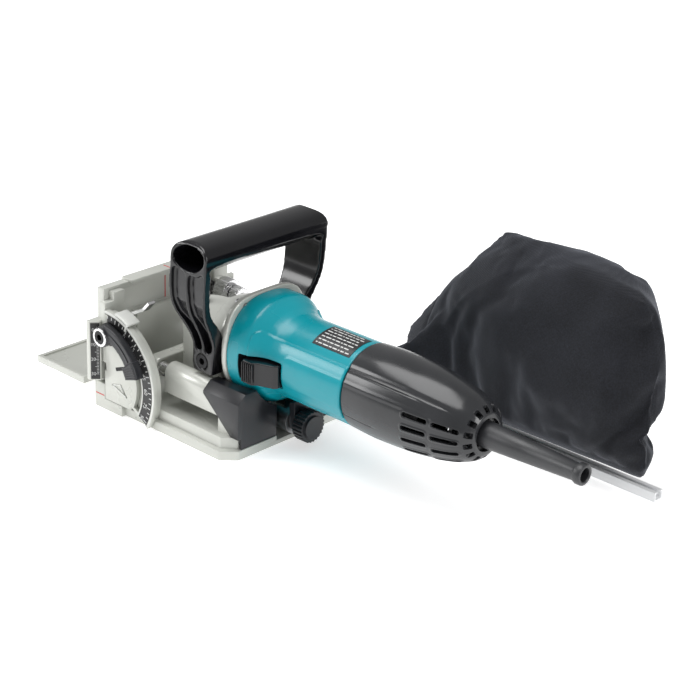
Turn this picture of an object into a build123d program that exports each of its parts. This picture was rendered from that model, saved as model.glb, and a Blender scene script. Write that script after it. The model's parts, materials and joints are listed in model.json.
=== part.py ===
from build123d import *
import math
import os

# A biscuit joiner (plate joiner): a 100 mm cutter on a plunging motor unit, a die-cast base with
# two guide tubes, a fence that tilts on a graduated quadrant and an angle guide that rides on it.
# X runs back from the work face, Y to the tool's right and Z up from the sole. Drawing
# coordinates start at the work face; save() moves them so that the origin is on the sole,
# under the cutter spindle.

# ---- Driving dimensions, mm ----
TOOL_HEIGHT = 145.0        # sole to the top of the handle
GUIDE_WIDTH = 137.0        # across the shelf of the angle guide
PLUNGE = 20.0              # travel of the motor unit, the deepest slot
CUTTER_RADIUS = 50.0
CUTTER_Z = 10.0            # middle of the cutter above the sole
SPINDLE_X = 51.0           # spindle behind the work face
MOTOR_Z = 64.0             # motor axis above the sole
SOLE_HALF = 58.0
SOLE_BACK = 131.5
SOLE_THICK = 6.5
DECK_TOP = 14.5            # roof of the cutter chamber
CHAMBER_HALF = 51.5
CHAMBER_BACK = 103.0
PIVOT_X = 13.0             # tilt axis of the fence
PIVOT_Z = 26.0
QUADRANT_RADIUS = 49.5
SLOT_RADIUS = 33.6         # arc slot for the clamp screw
SCREW_ANGLE = 83.0         # where the clamp screw stands on that arc, degrees
FENCE_FRONT = 7.0
FENCE_FOOT = 18.0
KEY_Y = (-36.0, 26.0)      # T-shaped keys that guide the angle guide on the fence
FENCE_BACK = 12.0
GUIDE_BACK = 6.7
GUIDE_TOP = 88.0
GUIDE_FOOT = 20.2          # lower edge of the angle guide's upright plate
SHELF_LOW = 17.0
SHELF_TOP = 22.0
SHELF_FRONT = -55.0
BAR_RADIUS = 4.0           # slide bars
BAR_Y = 40.0
BAR_Z = 38.0
TUBE_RADIUS = 7.5
BORE_RADIUS = 5.8
TUBE_FRONT = 57.0
RUN = 0.05                 # radial clearance of every running fit
GAP = 0.4                  # clearance between parts that pass each other
PINION_TEETH = 9
GEAR_TEETH = 24
GEAR_RADIUS = 15.0         # pitch radius of the bevel gear at its outer end
RACK_MODULE = 1.0
RACK_PINION_TEETH = 10
KNOB_Y = 44.0              # height knob and its pinion
KNOB_Z = 64.0
DEPTH_Z = 16.0             # axis of the depth-stop knob
CAM_REST = 132.0           # front face of its deepest step at rest
CAM_RADIUS = 9.6
LOCK_RING = 8.4            # ring of shaft-lock holes in the bevel gear
LOCK_X = SPINDLE_X - LOCK_RING  # shaft-lock pin
BELL_FRONT = 107.0         # joint between gear housing and motor housing
TUBE_BACK = 203.0          # joint between motor housing and rear cover
WALL = 2.6
GUARD_END = 377.0
CORD_BORE = 4.4
BAG_Y = 110.0              # middle plane of the dust bag
BAG_HALF = 20.0

os.makedirs("parts", exist_ok=True)


# ---- Drawing helpers ----
def block(x0, x1, y0, y1, z0, z1):
    return Pos((x0 + x1) / 2, (y0 + y1) / 2, (z0 + z1) / 2) * Box(x1 - x0, y1 - y0, z1 - z0)


def rod_x(radius, x0, x1, y=0.0, z=MOTOR_Z):
    return Pos((x0 + x1) / 2, y, z) * Rot(0, 90, 0) * Cylinder(radius, x1 - x0)


def rod_y(radius, y0, y1, x, z):
    return Pos(x, (y0 + y1) / 2, z) * Rot(90, 0, 0) * Cylinder(radius, y1 - y0)


def rod_z(radius, z0, z1, x=SPINDLE_X, y=0.0):
    return Pos(x, y, (z0 + z1) / 2) * Cylinder(radius, z1 - z0)


def cone_x(radius0, radius1, x0, x1, y=0.0, z=MOTOR_Z):
    return Pos((x0 + x1) / 2, y, z) * Rot(0, 90, 0) * Cone(radius0, radius1, x1 - x0)


def extruded(plane, points, depth):
    outline = plane * make_face(Polyline(*points, close=True))
    return extrude(outline, amount=depth, dir=plane.z_dir)


def side_plate(points, y0, y1):
    """An outline of (x, z) points, from y0 to y1."""
    return extruded(Plane((0, y1, 0), x_dir=(1, 0, 0), z_dir=(0, -1, 0)), points, y1 - y0)


def cross_plate(points, x0, x1):
    """An outline of (y, z) points, from x0 to x1."""
    return extruded(Plane((x0, 0, 0), x_dir=(0, 1, 0), z_dir=(1, 0, 0)), points, x1 - x0)


def flat_plate(points, z0, z1):
    """An outline of (x, y) points, from z0 to z1."""
    return extruded(Plane((0, 0, z0), x_dir=(1, 0, 0), z_dir=(0, 0, 1)), points, z1 - z0)


def mirrored(shape):
    return mirror(shape, about=Plane.XZ)


def polar(radius, degrees, x=PIVOT_X, z=PIVOT_Z):
    angle = math.radians(degrees)
    return x + radius * math.cos(angle), z + radius * math.sin(angle)


def fan(radius, start, stop, y0, y1, x=PIVOT_X, z=PIVOT_Z):
    """A wedge about (x, z) that reaches past radius."""
    steps = 1 + int((stop - start) / 30)
    turns = [start + (stop - start) * k / steps for k in range(steps + 1)]
    return side_plate([(x, z)] + [polar(1.5 * radius, turn, x, z) for turn in turns], y0, y1)


def sector(inner, outer, start, stop, y0, y1, x=PIVOT_X, z=PIVOT_Z):
    """Part of a ring about (x, z), between two angles in degrees from +X towards +Z."""
    ring = rod_y(outer, y0, y1, x, z)
    if inner > 0:
        ring -= rod_y(inner, y0 - 1, y1 + 1, x, z)
    return ring & fan(outer, start, stop, y0, y1, x, z)


def save(name, *solids):
    """Write one node, moved to the part's own origin."""
    moved = [Pos(-SPINDLE_X, 0, 0) * piece for solid in solids for piece in solid.solids()]
    export_step(Compound(children=moved) if len(moved) > 1 else moved[0], f"parts/{name}.step")


# ---- Smooth sections of the motor casing ----
def section(x, half, square):
    """Outline across the motor axis: round below the axis, squarer above it."""
    points = []
    for k in range(24):
        angle = 2 * math.pi * k / 24
        power = 2 + square * max(0.0, math.sin(angle))
        across, up = abs(math.cos(angle)), abs(math.sin(angle))
        radius = half / (across ** power + up ** power) ** (1 / power)
        points.append((x, radius * math.cos(angle), MOTOR_Z + radius * math.sin(angle)))
    return make_face(Spline(*points, periodic=True))


def casing(stations, inset=0.0, ruled=False):
    return loft([section(x, half - inset, square) for x, half, square in stations], ruled=ruled)


TUBE_HALF = 28.8
NECK_BACK = 164.0
BELL = [(107, 38.5, 1.8), (116, 38.3, 1.8), (126, 36.8, 1.6), (138, 33.0, 0.9), (150, 29.9, 0.2),
        (158, 29.05, 0.0), (NECK_BACK, TUBE_HALF + 0.05, 0.0)]
TAIL = [(203, 28.9, 0.0), (225, 29.9, 0.0), (250, 29.0, 0.0), (272, 26.3, 0.0), (288, 22.8, 0.0),
        (297, 19.6, 0.0), (302, 15.0, 0.0)]
FLANGE_HALF = BELL[0][1]


# ---- Base: casting, cover plate, fittings ----
def guide_tube():
    body = block(TUBE_FRONT, SOLE_BACK, BAR_Y - TUBE_RADIUS, BAR_Y + TUBE_RADIUS, 25, BAR_Z)
    body += rod_x(TUBE_RADIUS, TUBE_FRONT, SOLE_BACK, BAR_Y, BAR_Z)
    body += block(110, 129, BAR_Y - TUBE_RADIUS, BAR_Y + TUBE_RADIUS, DECK_TOP - 1, 25)
    body -= rod_x(BORE_RADIUS, TUBE_FRONT - 1, SOLE_BACK, BAR_Y, BAR_Z)
    return body & side_plate(FOOT_LINE, 0, SOLE_HALF)


# Everything of the casting lies below this line; the black stop housing lies above it.
FOOT_LINE = [(0, 0), (129.5, 0), (129.5, 9.4), (97, 38), (97, 80), (0, 80)]


def upright():
    """The cheek behind the quadrant, with the pivot boss and the clamp boss."""
    plate = sector(0, 48, -31, 90, SOLE_HALF - 4, SOLE_HALF)
    plate &= block(12.8, 70, 0, 60, 0, 80)
    plate += rod_y(6, SOLE_HALF - 4, SOLE_HALF, PIVOT_X, PIVOT_Z)
    plate += block(12.8, 19, SOLE_HALF - 4, SOLE_HALF, 5, 26)
    clamp_x, clamp_z = polar(SLOT_RADIUS, SCREW_ANGLE)
    plate -= rod_y(2.35, 0, 70, clamp_x, clamp_z)
    return plate - rod_y(3.0, 0, 70, PIVOT_X, PIVOT_Z)


def base_casting():
    sole = flat_plate([(0, -58), (122, -58), (SOLE_BACK, -48.5), (SOLE_BACK, 48.5), (122, 58),
                       (0, 58)], 0, SOLE_THICK)
    tier = flat_plate([(0, -54), (119.5, -54), (128, -45.5), (128, 45.5), (119.5, 54), (0, 54)],
                      SOLE_THICK, DECK_TOP)
    body = sole + tier + block(0, 5, -SOLE_HALF, SOLE_HALF, 0, 16)
    body -= block(3, CHAMBER_BACK, -CHAMBER_HALF, CHAMBER_HALF, -1, 12.6)
    body -= block(15, 68, -15.5, 15.5, 10, 20)
    body -= block(-1, 6, -44, 44, 7.4, 12.6)
    body -= block(84, 101, 50, 55, 9.0, 12.4)
    body -= block(104.2, 132, -13, 13, 3.4, 40)
    for y in (-46, 46):
        body += rod_z(4.5, 3.0, 13, 97.5, y)
        body -= rod_z(1.5, 2.0, 10, 97.5, y)
    side = guide_tube() + block(0, 10.2, 54, 61.5, 0, 19.4)
    side += block(0, 28, SOLE_HALF, 61.5, 0, 8.0)
    chamber = block(3, CHAMBER_BACK, 0, CHAMBER_HALF, -1, 12.6)
    far_lug = upright() & block(0, 27, 0, 70, 0, 38)
    body += (side + far_lug - chamber) + mirrored(side + upright() - chamber)
    return body - rod_z(1.6, 5, 15, 122, 28) - rod_z(1.6, 5, 15, 122, -28)


def sole_cover():
    plate = block(3.2, 102.8, -51.3, 51.3, 0, 3)
    for y in (-46, 46):
        plate -= Pos(97.5, y, 0.75) * Cone(3.2, 1.7, 1.5)
        plate -= rod_z(1.7, 0, 4, 97.5, y)
    return plate


def depth_stop_housing():
    """Black rear housing: two cheeks over the guide tubes and a wall that carries the stop screw."""
    outline = [(-49, DECK_TOP), (49, DECK_TOP), (49, 40), (42.5, 46), (-42.5, 46), (-49, 40)]
    body = cross_plate(outline, 90, 131)
    body += block(128.2, 131, -46, 46, 6.7, DECK_TOP)
    foot = side_plate(FOOT_LINE, BAR_Y - TUBE_RADIUS, SOLE_HALF)
    body -= foot + mirrored(foot)
    body -= block(80, 97, -33, 33, 0, 60)
    body -= block(99.7, 132, -13, 13, 0, 60)
    body -= cone_x(FLANGE_HALF + 1.2, FLANGE_HALF + 0.8, 80, 112)
    body -= cone_x(FLANGE_HALF + 0.8, 36.6, 112, 132)
    for y in (-BAR_Y, BAR_Y):
        body -= rod_x(BORE_RADIUS + 0.4, 80, 107, y, BAR_Z)
        body -= rod_z(1.6, 5, 40, 122, math.copysign(28, y))
        body -= rod_z(3.2, 17, 40, 122, math.copysign(28, y))
    return body - rod_x(1.8, 90, 110, 0, 21.5)


def stop_screw():
    nut = rod_x(3.3, 95.2, 97, 0, 21.5) - rod_x(1.8, 90, 100, 0, 21.5)
    return [rod_x(1.8, 94, CAM_REST - PLUNGE - 0.3, 0, 21.5), nut]


def guide_bushes():
    bush = rod_x(BORE_RADIUS, TUBE_FRONT, TUBE_FRONT + 12, BAR_Y, BAR_Z)
    bush -= rod_x(BAR_RADIUS + RUN, 50, 80, BAR_Y, BAR_Z)
    return [bush, mirrored(bush)]


def pointer_tab():
    """Bent steel tab over the quadrant's rim, with the pointer for the angle scale."""
    top = sector(50.6, 52.2, 62, 78, -63.0, -52.4)
    leg = sector(40, 52.2, 64, 76, -53.8, -52.2)
    finger = sector(45.5, 51, 62.4, 64.4, -63.0, -62.4)
    return top + leg + finger


def stop_spring():
    """Leaf that clicks at the quadrant's positive stops."""
    leaf = [(22, 60), (24, 60), (26, 73), (40, 80), (46.5, 87), (45, 88.2), (39, 81.8), (24.6, 74.6)]
    return side_plate(leaf, -52.0, -46)


def pivot_pins():
    pin = rod_y(3.0, 49.8, 60.4, PIVOT_X, PIVOT_Z)
    return [pin, mirrored(pin)]


def base_screws():
    screws = []
    for y in (-46, 46):
        screws.append(rod_z(1.5, 1.5, 9.5, 97.5, y) + Pos(97.5, y, 0.8) * Cone(3.1, 1.5, 1.4))
    for y in (-28, 28):
        screws.append(rod_z(1.5, 6, 17, 122, y) + rod_z(3.0, 17, 19.5, 122, y))
    return screws


# ---- Dust spout and bag ----
def dust_spout():
    """Duct from the outlet of the cutter chamber that turns back into a round spigot."""
    duct = block(78, 118, 54.2, 82, 6.8, 33) + rod_x(15, 112, 142, 76, 26)
    duct -= block(82, 114, 60.2, 78.5, 9.0, 30) + rod_x(12.4, 110, 143, 76, 26)
    duct -= block(84, 101, 50, 62, 9.0, 12.4)
    return duct & block(70, 150, 54, 95, 6.8, 45)


def bag_collar():
    return rod_x(17.2, 126, 138, 76, 26) - rod_x(15.0, 120, 143, 76, 26)


BAG_OUTLINE = [(142.3, 9), (142.3, 42), (155, 69), (174, 92), (197, 115), (217, 134), (247, 135),
               (283, 139), (305, 139.5), (326, 135.5), (334, 122), (343, 104), (349, 84), (352, 62),
               (355, 40), (357, 7.6), (206, 7.6), (170, 6)]


def dust_bag():
    front = BAG_Y - BAG_HALF
    body = side_plate(BAG_OUTLINE, front, BAG_Y + BAG_HALF)
    body += block(142.3, 170, 60, front, 10, 43)
    hem = block(207, 356.8, BAG_Y - 0.8, BAG_Y + 0.8, 4, 8) + rod_x(1.9, 207, 356.8, BAG_Y, 4)
    return body + hem


def bag_clip():
    """Rail with a C section that slides over the folded mouth of the bag."""
    rail = block(206, 359, BAG_Y - 4.5, BAG_Y + 4.5, 0.4, 7.2)
    rail -= block(205, 361, BAG_Y - 3.1, BAG_Y + 3.1, 1.6, 6.2)
    return rail - block(205, 361, BAG_Y - 1.3, BAG_Y + 1.3, 5, 8)


# ---- Fence and quadrant ----
def quadrant():
    reach = QUADRANT_RADIUS
    plate = sector(0, reach, -31, 96, -61.5, -SOLE_HALF - GAP)
    lower = rod_y(29.6, -61.5, -SOLE_HALF - GAP, PIVOT_X, PIVOT_Z) & block(10.6, 50, -62, 0, 8.4, 30)
    plate += lower
    plate &= block(7.0, 70, -62, 0, 1, 90)
    plate -= block(0, 10.6, -62, 0, 0, 36)
    plate += sector(47.2, reach, -31, 92, -62.1, -61.5)
    return plate - sector(SLOT_RADIUS - 2.7, SLOT_RADIUS + 2.7, -27, 89, -70, 0)


def fence():
    outline = [(-53.5, FENCE_FOOT), (-19, FENCE_FOOT), (-19, 27.2), (19, 27.2), (19, FENCE_FOOT),
               (53.5, FENCE_FOOT), (53.5, 80), (33, 80), (33, 66), (-44, 66), (-44, 86), (-53.5, 86)]
    plate = cross_plate(outline, FENCE_FRONT, FENCE_BACK)
    for y in KEY_Y:
        plate -= block(0, 20, y - 3.3, y + 3.3, 21.1, 90)
    plate -= block(0, 20, 33.8, 40.6, 10, 90)
    plate -= rod_x(6.4, 0, 20, KNOB_Y, KNOB_Z)
    boss = rod_x(9, FENCE_BACK, 16, KNOB_Y, KNOB_Z) & block(10, 20, 40.8, 60, 50, 80)
    plate += boss + block(FENCE_BACK, 16, 31.8, 53.5, 22, 30)
    plate -= rod_x(3.0 + RUN, 11, 20, KNOB_Y, KNOB_Z)
    ear = rod_y(6.3, 49.8, 53.5, PIVOT_X, PIVOT_Z) + block(9, 13, 49.8, 53.5, 20, 40)
    far_arm = side_plate([(7, 36), (7, 62), (12, 62), (22, 32), (22, 20), (10.6, 20), (10.6, 36)],
                         SOLE_HALF + GAP, 61.5)
    plate += ear + mirrored(ear) + far_arm
    plate += block(7, 12, 53.5, 61.5, 36, 62) + block(7, 12, -61.5, -53.5, 36, 80)
    plate -= sector(SLOT_RADIUS - 3.5, SLOT_RADIUS + 3.5, 70, 92, -70, -53.5)
    plate += quadrant()
    return plate - rod_y(3.0 + RUN, -60.6, 60.6, PIVOT_X, PIVOT_Z)


def angle_scale_plate():
    return sector(38, 46.6, -29.5, 88, -61.9, -61.5)


# ---- Angle guide with its rack ----
def angle_guide():
    upper = block(0, GUIDE_BACK, -SOLE_HALF, SOLE_HALF, GUIDE_FOOT, GUIDE_TOP)
    upper -= block(4.4, 10, -43, 33, 66.5, 84)
    column = [(0, -68.5), (3, -68.5), (8.4, -63.1), (8.4, -62.2), (GUIDE_BACK, -62.2),
              (GUIDE_BACK, -50), (0, -50)]
    near = flat_plate(column, SHELF_LOW + 5, 66)
    near += flat_plate([(0, -60), (GUIDE_BACK, -60), (GUIDE_BACK, -50), (0, -50)], GUIDE_FOOT, 30)
    shelf = block(SHELF_FRONT, 0, -GUIDE_WIDTH / 2, GUIDE_WIDTH / 2, SHELF_LOW, SHELF_TOP)
    shelf -= block(SHELF_FRONT + 3, -6, -GUIDE_WIDTH / 2 + 3, GUIDE_WIDTH / 2 - 3, 21.0, 30)
    for side in (-1, 1):
        y0, y1 = sorted((side * 50.0, side * 80.0))
        shelf -= block(-4, 1, y0, y1, 10, SHELF_LOW + 5)
    gusset = side_plate([(-5, 21), (0, 20.5), (0, 27)], -60, 60)
    lip = block(0, 11, -36, 36, GUIDE_TOP, 90)
    body = upper + near + mirrored(near) + shelf + gusset + lip
    for y in KEY_Y:
        body += block(GUIDE_BACK, 12.4, y - 3, y + 3, 21.5, 50)
        body += block(12.4, 14.4, y - 5.5, y + 5.5, 21.5, 50)
    return body


def rack_bar():
    """Rack of the height adjustment; its pitch line is one pinion radius from the knob."""
    pitch = math.pi * RACK_MODULE
    line = KNOB_Y - RACK_MODULE * RACK_PINION_TEETH / 2
    body = block(GUIDE_BACK, 11.4, line - 4.6, line - 1.2, GUIDE_FOOT, 70)
    for k in range(-14, 2):
        z = KNOB_Z + (k + 0.5) * pitch
        tooth = [(line - 1.3, z - 0.95), (line + 0.75, z - 0.4), (line + 0.75, z + 0.4),
                 (line - 1.3, z + 0.95)]
        body += cross_plate(tooth, GUIDE_BACK + 0.7, 11.4)
    return body


def height_scale_plate():
    """Thin plate on the column's slanted face."""
    return flat_plate([(3.5, -68.0), (3.8, -68.3), (8.3, -63.8), (8.0, -63.5)], 23, 65)


def spur_pinion(x0, x1):
    """Pinion on the height knob's shaft, with a tooth gap facing each rack tooth."""
    body = rod_x(3.7, x0, x1, KNOB_Y, KNOB_Z)
    for k in range(RACK_PINION_TEETH):
        turn = 180 + 360 * k / RACK_PINION_TEETH
        tooth = cross_plate([(3.4, -0.85), (4.9, -0.62), (5.8, -0.32), (5.8, 0.32), (4.9, 0.62),
                             (3.4, 0.85)], x0, x1)
        body += Pos(0, KNOB_Y, KNOB_Z) * Rot(turn, 0, 0) * tooth
    return body


def knurled(radius, x0, x1, grooves, depth, y, z):
    body = rod_x(radius, x0, x1, y, z)
    for k in range(grooves):
        angle = 2 * math.pi * k / grooves
        cut_y, cut_z = y + radius * math.cos(angle), z + radius * math.sin(angle)
        body -= rod_x(depth, x0 - 1, x1 + 1, cut_y, cut_z)
    return body


def height_knob():
    shaft = rod_x(3.0, 11.0, 38, KNOB_Y, KNOB_Z)
    return shaft + knurled(10, 17, 27, 30, 0.55, KNOB_Y, KNOB_Z) + rod_x(7.5, 16.4, 29, KNOB_Y, KNOB_Z)


def height_lock_nut():
    nut = knurled(6.8, 29.6, 37.5, 16, 0.7, KNOB_Y, KNOB_Z)
    return nut - rod_x(3.0 + RUN, 20, 50, KNOB_Y, KNOB_Z)


# ---- Tilt clamp lever ----
def tilt_lever():
    clamp_x, clamp_z = polar(SLOT_RADIUS, SCREW_ANGLE)
    hub = rod_y(7.4, -70.5, -63.6, clamp_x, clamp_z)
    arm = sector(33.5, 43.0, 24, SCREW_ANGLE, -69.5, -64.2)
    grip = sector(31.5, 44.0, 18, 34, -71.0, -64.2)
    body = hub + arm + grip
    body -= rod_y(2.3, -80, 0, clamp_x, clamp_z) + rod_y(4.6, -80, -66, clamp_x, clamp_z)
    return body


def tilt_clamp_screw():
    clamp_x, clamp_z = polar(SLOT_RADIUS, SCREW_ANGLE)
    washer = rod_y(8.2, -63.5, -62.5, clamp_x, clamp_z)
    screw = rod_y(2.3, -70, -54.5, clamp_x, clamp_z) + rod_y(4.5, -71.5, -66.1, clamp_x, clamp_z)
    socket = Pos(clamp_x, -71.5, clamp_z) * Rot(90, 0, 0) * extrude(RegularPolygon(2.5, 6), 3, both=True)
    return screw + washer - socket


# ---- Gear housing, handle and slide bars ----
def gear_housing():
    nose = rod_z(18.2, 15.0, 75)
    body = nose + block(SPINDLE_X, 92, -26, 26, 28, 75)
    body += cone_x(26, 31, 78, 92) + rod_x(31, 92, 103)
    body += loft([section(102.5, FLANGE_HALF, 1.8), section(BELL_FRONT, FLANGE_HALF, 1.8)],
                 ruled=True)
    for y in (-1, 1):
        inner, outer = sorted((y * 18, y * 31.5))
        body += rod_y(9, inner, outer, 88, 56)
        low, high = sorted((0, y * BAR_Y))
        body += block(36, 46, low, high, 31.5, 44.5) + rod_x(6.5, 36, 46, y * BAR_Y, BAR_Z)
        body -= rod_x(BAR_RADIUS, 30, 50, y * BAR_Y, BAR_Z)
        deep, wide = sorted((y * 21, y * 40))
        body -= rod_y(2.5, deep, wide, 88, 56)
    body -= rod_z(16.0, 16, 26) + rod_z(11, 10, 20) + rod_z(12, 26, 46)
    body -= rod_z(16.6, 45, 72.5)
    body += rod_z(6.6, 61.6, 75)
    body -= rod_z(5, 61, 71.5)
    body -= rod_x(9.0, 57.8, 81) + rod_x(11, 80, 87) + rod_x(13, 86, 96) + rod_x(34, 95, 110)
    body -= rod_z(2.0 + RUN, 50, 80, LOCK_X) + rod_z(4.2, 70.5, 80, LOCK_X)
    for y, z in FLANGE_SCREWS:
        body -= rod_x(1.6, 97, 110, y, z) + rod_x(3.4, 90, 102.5, y, z)
    return body


FLANGE_SCREWS = [(-20, 96), (20, 96), (-22, 36.5), (22, 36.5)]


def handle():
    """D-handle: a hollow bar across the tool on two channelled legs."""
    half = [(0, 127), (48.5, 127), (50.8, 122), (51.2, 112), (50.4, 102), (47, 93), (40.5, 84.5),
            (34.8, 75), (31.5, 66), (31.5, 47.5), (41, 47.5), (42.5, 56), (43, 70), (48.5, 83),
            (54, 94), (56.5, 106), (57, 128), (56.4, 139), (50, TOOL_HEIGHT), (0, TOOL_HEIGHT)]
    pocket = cross_plate([(34, 64), (37.3, 75), (43, 84), (49.4, 92.5), (52.7, 101.5), (53.5, 112),
                          (53.4, 120), (60, 120), (60, 64)], 60, 110)
    pocket += mirrored(pocket)
    arch = cross_plate(half, 60, 110)
    arch += mirrored(arch)
    taper = [(78.5, 47), (97.5, 47), (98.5, 72), (100.5, 92), (101.8, 103), (106.4, 120),
             (107, 138), (101, 145.5), (80, 145.5), (74.5, 140), (73, 128), (71.5, 114), (73, 92),
             (78, 70)]
    body = arch & side_plate(taper, -60, 60)
    bore = side_plate([(76.2, 133), (79, 130.5), (87, 129), (98, 129.5), (103.5, 132), (104, 137),
                       (99, 142), (83, 142), (77.5, 138.5)], -60, 60)
    body -= bore
    for side in (-1, 1):
        y0, y1 = sorted((side * 33.0, side * 60.0))
        channels = side_plate([(82, 66), (86, 66), (86.2, 118), (78, 118), (78.5, 92)], y0, y1)
        channels += side_plate([(90, 66), (94, 66), (97.5, 92), (98, 118), (89.8, 118)], y0, y1)
        body -= channels & pocket
        y0, y1 = sorted((side * 20.0, side * 50.0))
        body -= rod_y(2.6, y0, y1, 88, 56)
        y0, y1 = sorted((side * 38.5, side * 50.0))
        body -= rod_y(5.2, y0, y1, 88, 56)
    return body


def handle_screws():
    screw = rod_y(2.45, 22, 38.5, 88, 56) + rod_y(5.0, 38.5, 42.0, 88, 56)
    screw -= Pos(88, 42, 56) * Rot(90, 0, 0) * extrude(RegularPolygon(2.6, 6), 2.5, both=True)
    return [screw, mirrored(screw)]


def flange_screws():
    return [rod_x(1.55, 99.5, 110.5, y, z) + rod_x(3.0, 99.5, 102.5, y, z)
            for y, z in FLANGE_SCREWS]


def slide_bars():
    bar = rod_x(BAR_RADIUS, 35.5, 104, BAR_Y, BAR_Z) + rod_x(5.6, 100, 104, BAR_Y, BAR_Z)
    return [bar, mirrored(bar)]


def plunge_springs():
    """Compression springs around the slide bars, between the bush and the bar's collar."""
    turns, wire, radius = 8, 0.5, 4.95
    start, stop = TUBE_FRONT + 12.6, 99.4
    coil = Helix(pitch=(stop - start) / turns, height=stop - start, radius=radius)
    profile = Plane(coil @ 0, z_dir=coil % 0) * Circle(wire)
    spring = Pos(start, BAR_Y, BAR_Z) * Rot(0, 90, 0) * sweep(profile, path=coil)
    return [spring, mirrored(spring)]


# ---- Motor casing ----
SWITCH_Z = 61.0
LABEL_ANGLES = (54, 98)


def motor_housing():
    body = casing(BELL) - casing(BELL, WALL)
    tube = rod_x(TUBE_HALF, NECK_BACK - 3, TUBE_BACK) - rod_x(TUBE_HALF - WALL - 0.1, 160, 210)
    body += tube
    body -= block(111.5, 150.5, -45, -24.4, SWITCH_Z - 9.5, SWITCH_Z + 9.5)
    pocket = block(109.5, 152.5, -36, -23.4, SWITCH_Z - 11.5, SWITCH_Z + 11.5) & casing(BELL, 0.8)
    pocket -= block(111.5, 150.5, -45, -25.4, SWITCH_Z - 9.5, SWITCH_Z + 9.5)
    pocket -= block(126, 153, -30, -20, MOTOR_Z - 3.4, MOTOR_Z + 3.4)
    body += pocket
    bulkhead = rod_x(26.6, 197, TUBE_BACK) - rod_x(9.5, 190, 210)
    for angle in (45, 135, 225, 315):
        turn = math.radians(angle)
        bulkhead -= rod_x(5.5, 190, 210, 17.5 * math.cos(turn), MOTOR_Z + 17.5 * math.sin(turn))
    bulkhead -= block(190, 210, -27, -23.2, MOTOR_Z - 4, MOTOR_Z + 4)
    body += bulkhead
    for y, z in FLANGE_SCREWS:
        body += rod_x(3.2, BELL_FRONT, 113, y, z) & casing(BELL)
        body -= rod_x(1.6, 100, 111, y, z)
    return body


def rating_label():
    """Thin blank label bent round the upper near side of the tube."""
    inner, outer = TUBE_HALF + 0.03, TUBE_HALF + 0.3
    shell = rod_x(outer, 166, 199) - rod_x(inner, 160, 205)
    start, stop = LABEL_ANGLES
    turns = [start + (stop - start) * k / 3 for k in range(4)]
    corners = [(0.0, MOTOR_Z)]
    for turn in turns:
        angle = math.radians(180 - turn)
        corners.append((45 * math.cos(angle), MOTOR_Z + 45 * math.sin(angle)))
    return shell & cross_plate(corners, 160, 205)


def rear_cover():
    body = casing(TAIL) - casing(TAIL, WALL)
    body += rod_x(17.5, 293.5, 297.5) & casing(TAIL)
    body -= rod_x(9.0, 280, 310)
    for side in (-1, 1):
        y0, y1 = sorted((side * 10.0, side * 40.0))
        for row in range(4):
            z = MOTOR_Z + 3.5 - 7.5 * row
            for x0 in (236, 257):
                body -= block(x0, x0 + 16, y0, y1, z - 1.5, z + 1.5)
    return body


def cord_guard():
    body = cone_x(8.8, 5.6, 300, 371) + rod_x(7.0, 371, GUARD_END)
    body += rod_x(8.8, 292.5, 300) + rod_x(12, 289.5, 293.4)
    return body - rod_x(CORD_BORE, 280, GUARD_END + 1)


# ---- Motor and switch ----
def field_core():
    core = rod_x(25.8, 122, 170) - rod_x(17.9, 120, 172)
    core &= block(120, 172, -23.2, 23.2, 0, 120)
    for side in (-1, 1):
        y0, y1 = sorted((side * 12.0, side * 19.5))
        core -= block(120, 172, y0, y1, MOTOR_Z - 13, MOTOR_Z + 13)
    return core


def field_windings():
    coils = []
    for x0, x1 in ((121.8 - 5.5, 121.8), (170.2, 175.7)):
        ring = rod_x(24.6, x0, x1) - rod_x(18.6, x0 - 1, x1 + 1)
        coils.append(ring & block(x0, x1, -23, 23, MOTOR_Z + 3, 100))
        coils.append(ring & block(x0, x1, -23, 23, 20, MOTOR_Z - 3))
    return coils


def bearing_x(outer, inner, x0, x1):
    return rod_x(outer, x0, x1) - rod_x(inner + RUN, x0 - 1, x1 + 1)


def armature_shaft():
    return rod_x(4.0, 66.5, 196) + rod_x(3.5, 196, 203) + rod_x(3.0, 61.8, 66.5)


def armature_core():
    core = rod_x(17.2, 124, 168) - rod_x(4.0, 120, 172)
    for k in range(12):
        angle = math.radians(30 * k)
        core -= rod_x(1.5, 120, 172, 15.4 * math.cos(angle), MOTOR_Z + 15.4 * math.sin(angle))
        slot = block(120, 172, -0.6, 0.6, 15.6, 18)
        core -= Pos(0, 0, MOTOR_Z) * Rot(30 * k - 90, 0, 0) * slot
    return core


def armature_windings():
    front = cone_x(12.5, 15.8, 118.6, 123.8) - rod_x(4.0, 110, 130)
    back = cone_x(15.8, 12.5, 168.2, 174.0) - rod_x(4.0, 160, 180)
    return [front, back]


def commutator():
    body = rod_x(11.0, 177, 193) - rod_x(4.0, 170, 200)
    for k in range(24):
        body -= Pos(0, 0, MOTOR_Z) * Rot(15 * k, 0, 0) * block(176, 194, -0.25, 0.25, 10.0, 12)
    return body


def cooling_fan():
    body = rod_x(22.6, 107.8, 109.6) + rod_x(8.5, 107.8, 115.5)
    for k in range(12):
        fin = Pos(0, 0, MOTOR_Z) * Rot(30 * k, 0, 0) * block(109, 115.5, -0.8, 0.8, 8, 22.3)
        body += fin
    return body - rod_x(4.0, 100, 120)


def brush_holders():
    tube = block(180.6, 189.4, -4.6, 4.6, MOTOR_Z + 12.2, MOTOR_Z + 25.0)
    tube -= block(182, 188, -3.1, 3.1, MOTOR_Z, MOTOR_Z + 24)
    return [tube, mirror(tube, about=Plane.XY.offset(MOTOR_Z))]


def carbon_brushes():
    brush = block(182.1, 187.9, -3.0, 3.0, MOTOR_Z + 11.4, MOTOR_Z + 21)
    return [brush, mirror(brush, about=Plane.XY.offset(MOTOR_Z))]


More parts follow.
